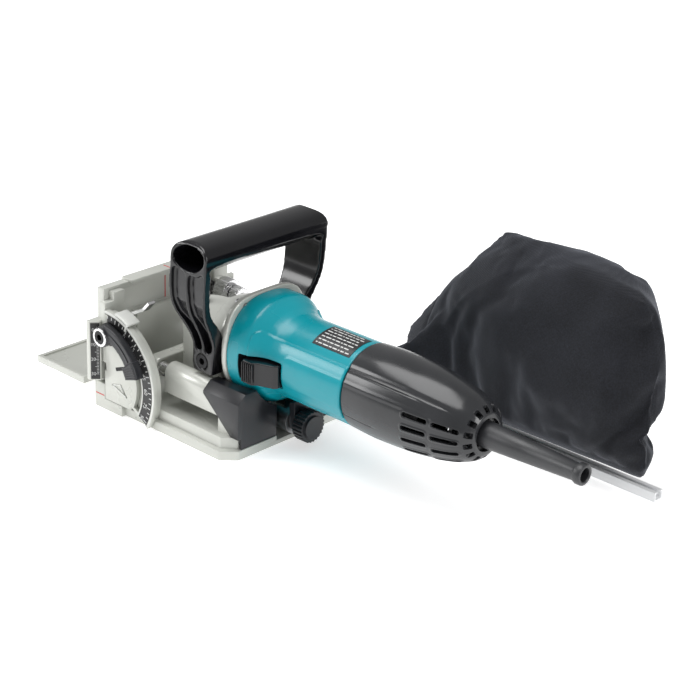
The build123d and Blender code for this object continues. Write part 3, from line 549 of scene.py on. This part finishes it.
def radial_slot(x, degrees, length, width, low, high, side, corner):
    """A cutter that points away from the motor axis."""
    made = box_mesh("slot", (x - length / 2, low, MOTOR_Z - width / 2),
                    (x + length / 2, high, MOTOR_Z + width / 2), CHARCOAL, corner)
    centre = at(x, 0, MOTOR_Z)
    turn = Matrix.Rotation(math.radians(degrees if side > 0 else 180 - degrees), 4, "X")
    made.data.transform(Matrix.Translation(centre) @ turn @ Matrix.Translation(-centre))
    return made


rear_cover = shell("rear_cover_shell", TAIL, cover_detail, WALL, 200, 288, CHARCOAL)
cutters = []
for vent_x, vent_degrees in VENTS:
    for side in (-1, 1):
        cutters.append(radial_slot(vent_x, vent_degrees, VENT_LENGTH, VENT_WIDTH, 15, 40, side,
                                   1.45))
for k in range(14):
    cutters.append(radial_slot(299.4, 360 * (k + 0.5) / 14, 4.4, 3.8, 14.2, 30, 1, 0.7))
cut(rear_cover, joined(cutters, "slots"))
smooth(rear_cover, 50)
settle(rear_cover, "rear_cover", ["rear_cover"], CHARCOAL)

end_ring = turned("cover_end_ring", [(286, 19.4), (288.4, 19.4), (288.6, 13.6), (300.8, 13.6),
                                     (301.8, 13.2), (302.0, 12.6), (301.6, 11.8), (298.4, 11.3),
                                     (297.6, 9.2), (286, 9.2)], 0, MOTOR_Z, CHARCOAL)
settle(end_ring, "rear_cover", finish=CHARCOAL)
guard_profile = [(298.8, 4.4), (298.8, 8.6), (300, 8.8), (330, 7.5), (370.4, 5.75), (371.6, 6.5),
                 (372.6, 6.95), (375.6, 7.0), (376.6, 6.7), (377, 6.0), (377, 5.0), (376.4, 4.4)]
guard = turned("cord_guard_turned", guard_profile, 0, MOTOR_Z, FINISH["black_rubber"])
settle(guard, "cord_guard", ["cord_guard"])

# ---- Mouldings and castings ----
def curved(points, sharp=(), steps=6):
    """A closed outline through the points, rounded everywhere but at the sharp ones."""
    count = len(points)
    found = []
    for k in range(count):
        a, b, c, d = (points[(k + j) % count] for j in (-1, 0, 1, 2))
        if k in sharp:
            a = b
        if (k + 1) % count in sharp:
            d = c
        for j in range(steps):
            t = j / steps
            found.append(tuple(0.5 * (2 * b[i] + (c[i] - a[i]) * t
                                      + (2 * a[i] - 5 * b[i] + 4 * c[i] - d[i]) * t * t
                                      + (3 * b[i] - a[i] - 3 * c[i] + d[i]) * t ** 3)
                               for i in (0, 1)))
    return found


def prism(name, outline, axis, low, high):
    """A closed outline of (x, z) points drawn out along Y, or of (y, z) points along X."""
    rings = []
    for depth in (low, high):
        rings.append([at(u, depth, v) if axis == "Y" else at(depth, u, v) for u, v in outline])
    return ring_surface(name, rings, FINISH["black_gloss"])


def meet(made, tool, operation="INTERSECT"):
    """Keep what two solids share, or with another operation, do that; the tool is removed."""
    applied(made, "BOOLEAN", operation=operation, object=tool, solver="EXACT")
    bpy.data.objects.remove(tool)


def foot_circle(radius):
    """A circle about the screw in the foot of the handle, as (x, z)."""
    return [(88 + radius * math.cos(math.pi * k / 16), 56 + radius * math.sin(math.pi * k / 16))
            for k in range(32)]


def d_handle():
    """The bar and its two channelled legs: a side profile met with a front profile."""
    right = [(30.5, 47.5), (41.5, 47.5), (42.5, 58), (43, 70), (48.5, 83), (54, 94), (56.5, 106),
             (57, 128), (56.4, 139.5), (52.5, 144.6), (44, 145)]
    left = [(-y, z) for y, z in right[::-1]]
    inner_left = [(-31.5, 62), (-34.8, 75), (-40.5, 84.5), (-47, 93), (-50.4, 102),
                  (-51.2, 112), (-51, 123), (-48, 130)]
    inner_right = [(-y, z) for y, z in inner_left[::-1]]
    front = curved(right + [(0, 145)] + left + inner_left + [(0, 132)] + inner_right,
                   (0, 1, 22, 21))
    body = prism("handle_moulding", front, "X", 60, 112)
    side = curved([(79.5, 47.2), (88, 45.5), (96.5, 47.2), (99, 58), (101.6, 74), (103.4, 90),
                   (105.4, 104), (106.6, 120), (107, 133), (101, 136), (90, 136), (79, 136),
                   (73.6, 133), (72.8, 124), (71.4, 112), (72.6, 96), (77.4, 78), (79.4, 66),
                   (79, 56)])
    meet(body, prism("side", side, "Y", -60, 60))
    bar = prism("bar", curved([(73.2, 131), (74.4, 126.8), (82, 123.4), (93.5, 123.0), (101, 126.6),
                               (106.8, 132), (107.6, 138), (104, 142.6), (96, 144.8), (86, 144.6),
                               (78.0, 141.6), (74.2, 136.6)]), "Y", -58, 58)
    outer = curved(right + [(0, 145.2)] + left + [(0, 40)], (0, 21, 22))
    meet(bar, prism("outer", outer, "X", 50, 120))
    meet(body, bar, "UNION")
    hollow = curved([(75.8, 134), (76.8, 129.4), (83, 126.0), (93.5, 125.4), (100.4, 128.4),
                     (104.6, 133), (104.4, 138.6), (97, 142.2), (87, 142.2), (79.6, 139.2)])
    meet(body, prism("hollow", hollow, "Y", -60, 60), "DIFFERENCE")
    front_channel = curved([(81.6, 66), (87.6, 66), (87.0, 88), (87.0, 104), (87.2, 121.6),
                            (75.6, 124.6), (73.8, 112), (74.6, 96), (79.6, 80)])
    rear_channel = curved([(90.6, 66), (97.0, 66), (100.2, 84), (103.2, 104), (104.2, 124.6),
                           (97.6, 122.6), (90.2, 121.0), (90.0, 104), (90.0, 88)])
    channel_floor = [(34, 62), (37.3, 75), (43, 84), (49.4, 92.5), (52.7, 101.5), (53.4, 112),
                     (53.2, 126), (62, 126), (62, 62)]
    for side in (-1, 1):
        low, high = sorted((side * 33.0, side * 60.0))
        deep, wide = sorted((side * 39.4, side * 60.0))
        for channel in (front_channel, rear_channel):
            tool = prism("channel", channel, "Y", low, high)
            meet(tool, prism("pocket", [(side * y, z) for y, z in channel_floor], "X", 60, 112))
            meet(body, tool, "DIFFERENCE")
        meet(body, prism("foot", foot_circle(5.4), "Y", deep, wide), "DIFFERENCE")
        deep, wide = sorted((side * 20, side * 50))
        meet(body, prism("bore", foot_circle(2.7), "Y", deep, wide), "DIFFERENCE")
    applied(body, "REMESH", mode="VOXEL", voxel_size=0.0007, use_smooth_shade=True)
    applied(body, "SMOOTH", factor=0.5, iterations=8)
    smooth(body, 70)
    return settle(body, "handle", ["handle"])


d_handle()
moulded("tilt_lever", 0.5, 6)
# The thumb slide is drawn shorter than its CAD node, from its back end.
thumb_slide = moulded("switch_slider", 0.45, 4, FINISH["black_gloss"])
slider_end = at(SLIDER_BACK, 0, 0)
thumb_slide.data.transform(Matrix.Translation(slider_end)
                           @ Matrix.Diagonal((SLIDER_SHORTER, 1, 1, 1))
                           @ Matrix.Translation(-slider_end))
moulded("gear_housing", 0.9, 4)
# In the CAD the flange is a loose ring, clear of the casting. This ring closes that gap to the eye.
drum = turned("gear_housing_drum", [(93.0, 28.5), (93.0, 30.9), (103.2, 31.0), (103.2, 36.5),
                                    (104.6, 36.5), (104.6, 28.5)],
              0, MOTOR_Z, FINISH["cast_silver"], 96)
settle(drum, "gear_housing")
softened("base_casting", 0.7)
softened("depth_stop_housing", 0.9)
softened("fence", 0.5)
softened("angle_guide", 0.5)
softened("sole_cover", 0.3)
softened("bag_clip", 0.35)
softened("pointer_tab", 0.3, PALE_PAINT)
softened("dust_spout", 0.8)

# ---- Marks on the fence, the quadrant and the guide ----
def in_plane(made, origin, right, up):
    """Move a flat piece drawn in metres on XY to a place in the frame."""
    away = right.cross(up)
    turn = Matrix((right, up, away)).transposed().to_4x4()
    made.data.transform(Matrix.Translation(origin) @ turn)


def stroke(points, width, lift, origin, right, up, material, name):
    """A raised painted stroke through (u, v) points in mm on a plane."""
    left, right_side = [], []
    for k, (u, v) in enumerate(points):
        before = points[max(k - 1, 0)]
        after = points[min(k + 1, len(points) - 1)]
        du, dv = after[0] - before[0], after[1] - before[1]
        size = math.hypot(du, dv)
        nu, nv = -dv / size * width / 2, du / size * width / 2
        left.append((u + nu, v + nv))
        right_side.append((u - nu, v - nv))
    outline = left + right_side[::-1]
    count = len(points)
    verts = [Vector((u, v, 0)) / 1000 for u, v in outline]
    verts += [Vector((u, v, lift)) / 1000 for u, v in outline]
    total = len(outline)
    faces = []
    for k in range(count - 1):
        a, b, c, d = k, k + 1, total - 2 - k, total - 1 - k
        faces += [(a, d, c, b), (a + total, b + total, c + total, d + total)]
    for k in range(total):
        nxt = (k + 1) % total
        faces.append((k, nxt, nxt + total, k + total))
    made = add_mesh(name, verts, faces, material)
    in_plane(made, origin, right, up)
    repair(made)
    return made


def numeral(text, size, origin, right, up, name):
    """A printed number whose middle is at origin."""
    curve = bpy.data.curves.new(name, "FONT")
    curve.body = text
    curve.size = size / 1000
    curve.extrude = 0.00003
    curve.align_x = "CENTER"
    curve.align_y = "CENTER"
    curve.resolution_u = 3
    holder = bpy.data.objects.new(name, curve)
    SCENE.collection.objects.link(holder)
    graph = bpy.context.evaluated_depsgraph_get()
    mesh = bpy.data.meshes.new_from_object(holder.evaluated_get(graph))
    bpy.data.objects.remove(holder)
    made = bpy.data.objects.new(name, mesh)
    SCENE.collection.objects.link(made)
    in_plane(made, origin, right, up)
    return made


RIGHT, UP = Vector((1, 0, 0)), Vector((0, 0, 1))


def arc(radius, start, stop, count):
    """Points of an arc about the tilt pivot, in the drawing's X and Z."""
    found = []
    for k in range(count + 1):
        turn = math.radians(start + (stop - start) * k / count)
        found.append((PIVOT_X + radius * math.cos(turn), PIVOT_Z + radius * math.sin(turn)))
    return found


SCALE_FACE = at(0, QUADRANT_FACE - 0.4, 0)
marks = []
for k in range(0, 24):
    turn = -27.5 + 5 * k
    long = 3.4 if k % 3 == 0 else 2.2
    marks.append(stroke([arc(46.3, turn, turn, 1)[0], arc(46.3 - long, turn, turn, 1)[0]], 0.6,
                        0.08, SCALE_FACE, RIGHT, UP, MARK_WHITE, "tick"))
for k in range(0, 19, 3):
    turn = -27.5 + 5 * k
    u, v = arc(40.6, turn, turn, 1)[0]
    lean = math.radians(turn)
    along = Vector((math.sin(lean), 0, -math.cos(lean)))
    out = Vector((math.cos(lean), 0, math.sin(lean)))
    marks.append(numeral(str(90 - 15 * (k // 3)), 4.6, at(u, QUADRANT_FACE - 0.45, v), along, out,
                         "number"))
angle_marks = joined(marks, "angle_scale_marks")
settle(angle_marks, "angle_scale_plate", finish=MARK_WHITE)

rim_parts = [stroke(arc(48.7, -30.5, 91, 60), 1.5, 0.35, at(0, -62.1, 0), RIGHT, UP,
                    PALE_PAINT, "rim"),
             stroke(arc(37.2, -29, 64, 50), 0.9, 0.35, at(0, QUADRANT_FACE, 0), RIGHT, UP,
                    PALE_PAINT, "rim_inner")]
rim = joined(rim_parts, "quadrant_rims")
settle(rim, "fence", finish=PALE_PAINT)
# A thin black strip painted into the gap between the scale band and the rim: painted shade of the
# gap, not a part of its own.
gap_shade_line = stroke(arc(47.0, -30.5, 91, 60), 0.6, 0.1, at(0, QUADRANT_FACE - 0.42, 0), RIGHT, UP,
                     SCREW_BLACK, "quadrant_gap_painted_shade")
settle(gap_shade_line, "angle_scale_plate", finish=SCREW_BLACK)

triangle = stroke([(18.6, 21.6), (27.0, 24.0), (33.4, 16.6), (18.6, 21.6)], 1.0, 0.5,
                  at(0, QUADRANT_FACE, 0), RIGHT, UP, PALE_PAINT, "triangle")
# The black oblong is painted shade: a flat dark patch standing for the dark inside the fence's
# oblong opening.
opening_shade_patch = stroke([(22.5, 34.4), (31.5, 38.0)], 2.6, 0.15, at(0, QUADRANT_FACE, 0), RIGHT, UP,
                SCREW_BLACK, "oblong_painted_shade")
settle(triangle, "fence", finish=PALE_PAINT)
settle(opening_shade_patch, "fence", finish=SCREW_BLACK)

PLATE_LOW, PLATE_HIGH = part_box("height_scale_plate")
PLATE_RIGHT = Vector((1, 1, 0)).normalized()
plate_base = Vector((PLATE_LOW.x, PLATE_LOW.y, 0))
plate_out = Vector((1, -1, 0)).normalized() * 0.00003
plate_width = (PLATE_HIGH.x - PLATE_LOW.x) * 1000 * math.sqrt(2)
height_marks = []
for k in range(0, 33):
    z = 27.0 + k * 1.1
    long = 2.6 if k % 5 == 0 else 1.5
    height_marks.append(stroke([(plate_width - 0.9, z), (plate_width - 0.9 - long, z)], 0.28, 0.06,
                               plate_base + plate_out * 8, PLATE_RIGHT, UP, MARK_WHITE, "tick"))
for k, text in enumerate(("30", "20", "10", "0")):
    spot = plate_base + plate_out * 12 + PLATE_RIGHT * 0.0021 + UP * (27.0 + k * 11.0) * 0.001
    height_marks.append(numeral(text, 3.4, spot, PLATE_RIGHT, UP, "number"))
height_scale = joined(height_marks, "height_scale_marks")
settle(height_scale, "height_scale_plate", finish=MARK_WHITE)

BACK_RIGHT = Vector((0, 1, 0))
red_parts = [stroke([(0, 66), (0, 84.5)], 0.9, 0.05, at(4.4, 0, 0), BACK_RIGHT, UP, MARK_RED,
                    "red"),
             stroke([(3, 0), (11, 0)], 0.9, 0.05, at(0, 0, 90.0), RIGHT, BACK_RIGHT, MARK_RED,
                    "red")]
red = joined(red_parts, "centre_marks")
settle(red, "angle_guide", finish=MARK_RED)
red_base = stroke([(0.5, 10.2), (9.5, 10.2)], 0.8, 0.05, at(0, -61.5, 0), RIGHT, UP, MARK_RED,
                  "base_mark")
settle(red_base, "base_casting", finish=MARK_RED)

# ---- Clamp lever details ----
ribs = []
for k in range(6):
    turn = 19.5 + 2.5 * k
    ribs.append(stroke([arc(32.8, turn, turn, 1)[0], arc(42.9, turn, turn, 1)[0]], 1.0, 0.8,
                       at(0, -70.5, 0), RIGHT, UP, FINISH["black_satin"], "rib"))
ribs.append(stroke(arc(38.3, 36, 74, 24), 1.6, 0.7, at(0, -69.2, 0), RIGHT, UP,
                   FINISH["black_satin"], "spine"))
lever_ribs = joined(ribs, "lever_ribs")
settle(lever_ribs, "tilt_lever")
HUB = arc(SLOT_RADIUS, SCREW_ANGLE, SCREW_ANGLE, 1)[0]
washer = turned("clamp_washer_ring", [(0, 4.7), (0, 6.6), (0.9, 6.6), (1.2, 6.3), (1.2, 4.9),
                                      (0.9, 4.7)], 0, 0, FINISH["bright_steel"], 48)
turn = Matrix.Rotation(math.radians(-90), 4, "Z")
washer.data.transform(Matrix.Translation(at(HUB[0], -70.4, HUB[1])) @ turn
                      @ Matrix.Translation(-at(0, 0, 0)))
settle(washer, "tilt_clamp_screw", finish=FINISH["bright_steel"])
for dark in ("handle_screws", "tilt_clamp_screw"):
    NODES[dark].material_slots[0].material = SCREW_BLACK

# ---- Ribs on the switch slider ----
slider_ribs = []
for k in range(6):
    x = 125.8 + 1.8 * k
    slider_ribs.append(box_mesh("slider_rib", (x - 0.45, -41.6, SWITCH_Z - 7.2),
                                (x + 0.45, -38.0, SWITCH_Z + 7.2), FINISH["black_gloss"], 0.5))
slider_grip = joined(slider_ribs, "switch_slider_ribs")
settle(slider_grip, "switch_slider", finish=FINISH["black_gloss"])

# ---- Generic marks on the rating label ----
def label_marks():
    """Rows of short strokes on the motor tube, where the photo has a rating label."""
    radius = TUBE_RADIUS + LABEL_LIFT
    parts = []
    rows = 7
    for row in range(rows):
        degrees = 58 + row * 36 / (rows - 1)
        turn = math.radians(180 - degrees)
        origin = at(0, radius * math.cos(turn), MOTOR_Z + radius * math.sin(turn))
        right = Vector((1, 0, 0))
        up = Vector((0, math.sin(turn), -math.cos(turn)))
        x = 168.0
        seed = 3 * row
        while x < 195:
            length = 1.4 + (seed * 7 % 5) * 0.8
            parts.append(stroke([(x, 0), (min(x + length, 197), 0)], 0.9, 0.03, origin, right, up,
                                MARK_WHITE, "bar"))
            x += length + 0.9
            seed += 1
    return joined(parts, "label_marks")


settle(label_marks(), "rating_label", finish=MARK_WHITE)


# ---- Dust bag ----
def panel_outline(y):
    """The bag's outline at one depth, near (0) to far (1), as (x, z) from the throat round the
    top, down the rear edge and back along the clip."""
    near = [(146, 34), (171, 50), (197, 93), (233, 132), (252, 138), (276, 143), (309, 142),
            (336, 140), (346, 130), (353.5, 111), (356.5, 90), (359, 60), (361.5, 30), (356, 16),
            (300, 13), (240, 12), (190, 10), (154, 10)]
    far = [(124, 46), (143, 72), (162, 95), (184, 119), (203, 139), (232, 137), (264, 141),
           (291, 140), (314, 134), (322, 118), (329, 101), (334, 82), (338, 56), (342, 30),
           (332, 9), (280, 8.5), (200, 8.5), (140, 12)]
    return [(a[0] + (b[0] - a[0]) * y, a[1] + (b[1] - a[1]) * y) for a, b in zip(near, far)]


def resampled(points, count):
    """Evenly spaced points along a closed outline."""
    lengths = [math.dist(points[k], points[(k + 1) % len(points)]) for k in range(len(points))]
    total = sum(lengths)
    found = []
    k, passed = 0, 0.0
    for j in range(count):
        want = total * j / count
        while passed + lengths[k] < want:
            passed += lengths[k]
            k += 1
        t = (want - passed) / lengths[k]
        a, b = points[k], points[(k + 1) % len(points)]
        found.append((a[0] + (b[0] - a[0]) * t, a[1] + (b[1] - a[1]) * t))
    return found


def bag_body():
    """The bag as a closed form: rings at (depth, scale) from near to far, joined to the neck."""
    rings = []
    depths = [(0.0, 0.4), (0.0, 0.55), (0.0, 0.68), (0.0, 0.78), (0.0, 0.86), (0.0, 0.92),
              (0.0, 0.97), (0.02, 1.0), (0.25, 1.0), (0.5, 0.99), (0.75, 1.0), (0.98, 1.0),
              (1.0, 0.97), (1.0, 0.9), (1.0, 0.8), (1.0, 0.6), (1.0, 0.4)]
    for depth, scale in depths:
        outline = resampled(panel_outline(depth), 120)
        middle = (sum(p[0] for p in outline) / 120, sum(p[1] for p in outline) / 120)
        ring = []
        for x, z in outline:
            x = middle[0] + (x - middle[0]) * scale
            z = middle[1] + (z - middle[1]) * scale
            y = BAG_NEAR + 2 + (BAG_FAR - BAG_NEAR - 4) * depth
            tuck = 1 - step(z, 10, 24)
            y += (110 - y) * 0.8 * tuck
            ring.append(at(x, y, z))
        rings.append(ring)
    body = ring_surface("dust_bag_cloth", rings, FINISH["bag_cloth"])
    throat = []
    for x, y, z, across, up in [(134, SPIGOT_Y, SPIGOT_Z, 18.2, 18.2),
                                (141, SPIGOT_Y, SPIGOT_Z, 18.2, 18.2),
                                (150, 80, 28, 19.5, 20.5), (162, 90, 34, 19, 24),
                                (178, 103, 46, 17, 32), (200, 110, 56, 14, 38)]:
        ring = []
        for j in range(48):
            turn = 2 * math.pi * j / 48
            ring.append(at(x, y + across * math.cos(turn), max(z + up * math.sin(turn), 6.5)))
        throat.append(ring)
    neck = ring_surface("neck", throat, FINISH["bag_cloth"])
    applied(body, "BOOLEAN", operation="UNION", object=neck, solver="EXACT")
    bpy.data.objects.remove(neck)
    return body


def hold(made, points_held):
    """A vertex group of the points that the cloth step leaves in place."""
    group = made.vertex_groups.new(name="held")
    group.add([v.index for v in made.data.vertices if points_held(v.co)], 1.0, "REPLACE")


bag = bag_body()
applied(bag, "REMESH", mode="VOXEL", voxel_size=BAG_VOXEL, use_smooth_shade=True)
rest_shape = [v.co.copy() for v in bag.data.vertices]


def is_held(co):
    """Whether a point of the bag is near the floor or by the neck."""
    x, z = (co.x - FRONT) * 1000, co.z * 1000
    return z < 26 or x < 150


hold(bag, is_held)
cloth = bag.modifiers.new("cloth", "CLOTH")
cloth.settings.quality = 6
cloth.settings.mass = 0.25
cloth.settings.tension_stiffness = 18
cloth.settings.compression_stiffness = 18
cloth.settings.shear_stiffness = 8
cloth.settings.bending_stiffness = 0.12
cloth.settings.vertex_group_mass = "held"
cloth.settings.use_pressure = True
cloth.settings.uniform_pressure_force = 1.6
cloth.settings.shrink_min = -0.07
cloth.collision_settings.use_self_collision = False
cloth.settings.effector_weights.gravity = 0.0
cloth.point_cache.frame_start = 1
cloth.point_cache.frame_end = 30
for number in range(1, 25):
    SCENE.frame_set(number)
bake(bag)
SCENE.frame_set(1)
for vertex, start in zip(bag.data.vertices, rest_shape):
    moved = vertex.co - start
    if moved.length > CLOTH_REACH:
        vertex.co = start + moved.normalized() * CLOTH_REACH
for vertex in bag.data.vertices:
    if vertex.co.z < CLIP_LOW:
        vertex.co.z = CLIP_LOW
shape = bmesh.new()
shape.from_mesh(bag.data)
mouth = []
for face in shape.faces:
    middle = face.calc_center_median()
    aside = math.hypot(middle.y - SPIGOT_Y / 1000, middle.z - SPIGOT_Z / 1000)
    if middle.x < FRONT + MOUTH_X / 1000 and aside < MOUTH_RADIUS / 1000:
        mouth.append(face)
bmesh.ops.delete(shape, geom=mouth, context="FACES")
shape.to_mesh(bag.data)
shape.free()
applied(bag, "SUBSURF", levels=1)
applied(bag, "SOLIDIFY", thickness=0.0007, offset=-1.0)
smooth(bag, 80)
settle(bag, "dust_bag", ["dust_bag"])

# ---- Camera, floor and light ----
AZIMUTH, ELEVATION, ROLL = map(math.radians, (42.53, 23.52, 2.03))
TARGET = at(116.18, 73.94, 39.32)
DISTANCE = 1.40019
back = Vector((math.sin(AZIMUTH) * math.cos(ELEVATION), -math.cos(AZIMUTH) * math.cos(ELEVATION),
               math.sin(ELEVATION)))
level = Vector((math.cos(AZIMUTH), math.sin(AZIMUTH), 0))
above = back.cross(level)
camera_right = level * math.cos(ROLL) + above * math.sin(ROLL)
camera_up = -level * math.sin(ROLL) + above * math.cos(ROLL)
camera_data = bpy.data.cameras.new("camera")
camera_data.lens = 102.18
camera_data.sensor_width = 36.0
camera = bpy.data.objects.new("camera", camera_data)
SCENE.collection.objects.link(camera)
turn = Matrix((camera_right, camera_up, back)).transposed().to_4x4()
camera.matrix_world = Matrix.Translation(TARGET + back * DISTANCE) @ turn
SCENE.camera = camera

floor_paint = hard("floor_paint", (0.86, 0.86, 0.86), (0.88, 0.88, 0.88), (0.6, 0.7), 60, 0.02)
floor_paint.node_tree.nodes["Principled BSDF"].inputs["Emission Color"].default_value = (1, 1, 1, 1)
floor_paint.node_tree.nodes["Principled BSDF"].inputs["Emission Strength"].default_value = 0.55
corners = [(FLOOR_HALF * u, FLOOR_HALF * v, FLOOR_Z)
           for u, v in ((-1, -1), (1, -1), (1, 1), (-1, 1))]
floor = add_mesh("floor", corners, [(0, 1, 2, 3)], floor_paint)

world = bpy.data.worlds.new("studio")
world.use_nodes = True
world.node_tree.nodes["Background"].inputs["Color"].default_value = (1.0, 1.0, 1.0, 1)
world.node_tree.nodes["Background"].inputs["Strength"].default_value = 0.42
SCENE.world = world
SCENE.view_settings.view_transform = "Standard"


def softbox(name, place, aim, size, power):
    """A rectangular area lamp at a place, turned to face its aim."""
    lamp = bpy.data.lights.new(name, "AREA")
    lamp.shape = "RECTANGLE"
    lamp.size, lamp.size_y = size
    lamp.energy = power
    made = bpy.data.objects.new(name, lamp)
    SCENE.collection.objects.link(made)
    made.location = place
    made.rotation_euler = (Vector(aim) - Vector(place)).to_track_quat("-Z", "Y").to_euler()


softbox("top", (-0.3, -0.2, 1.5), (0.05, 0.0, 0.05), (1.2, 0.9), 16)
softbox("left", (-1.3, -1.1, 0.9), (0.05, 0.0, 0.05), (0.9, 0.6), 13)
softbox("right", (1.5, 0.1, 0.8), (0.1, 0.0, 0.05), (0.5, 0.9), 10)
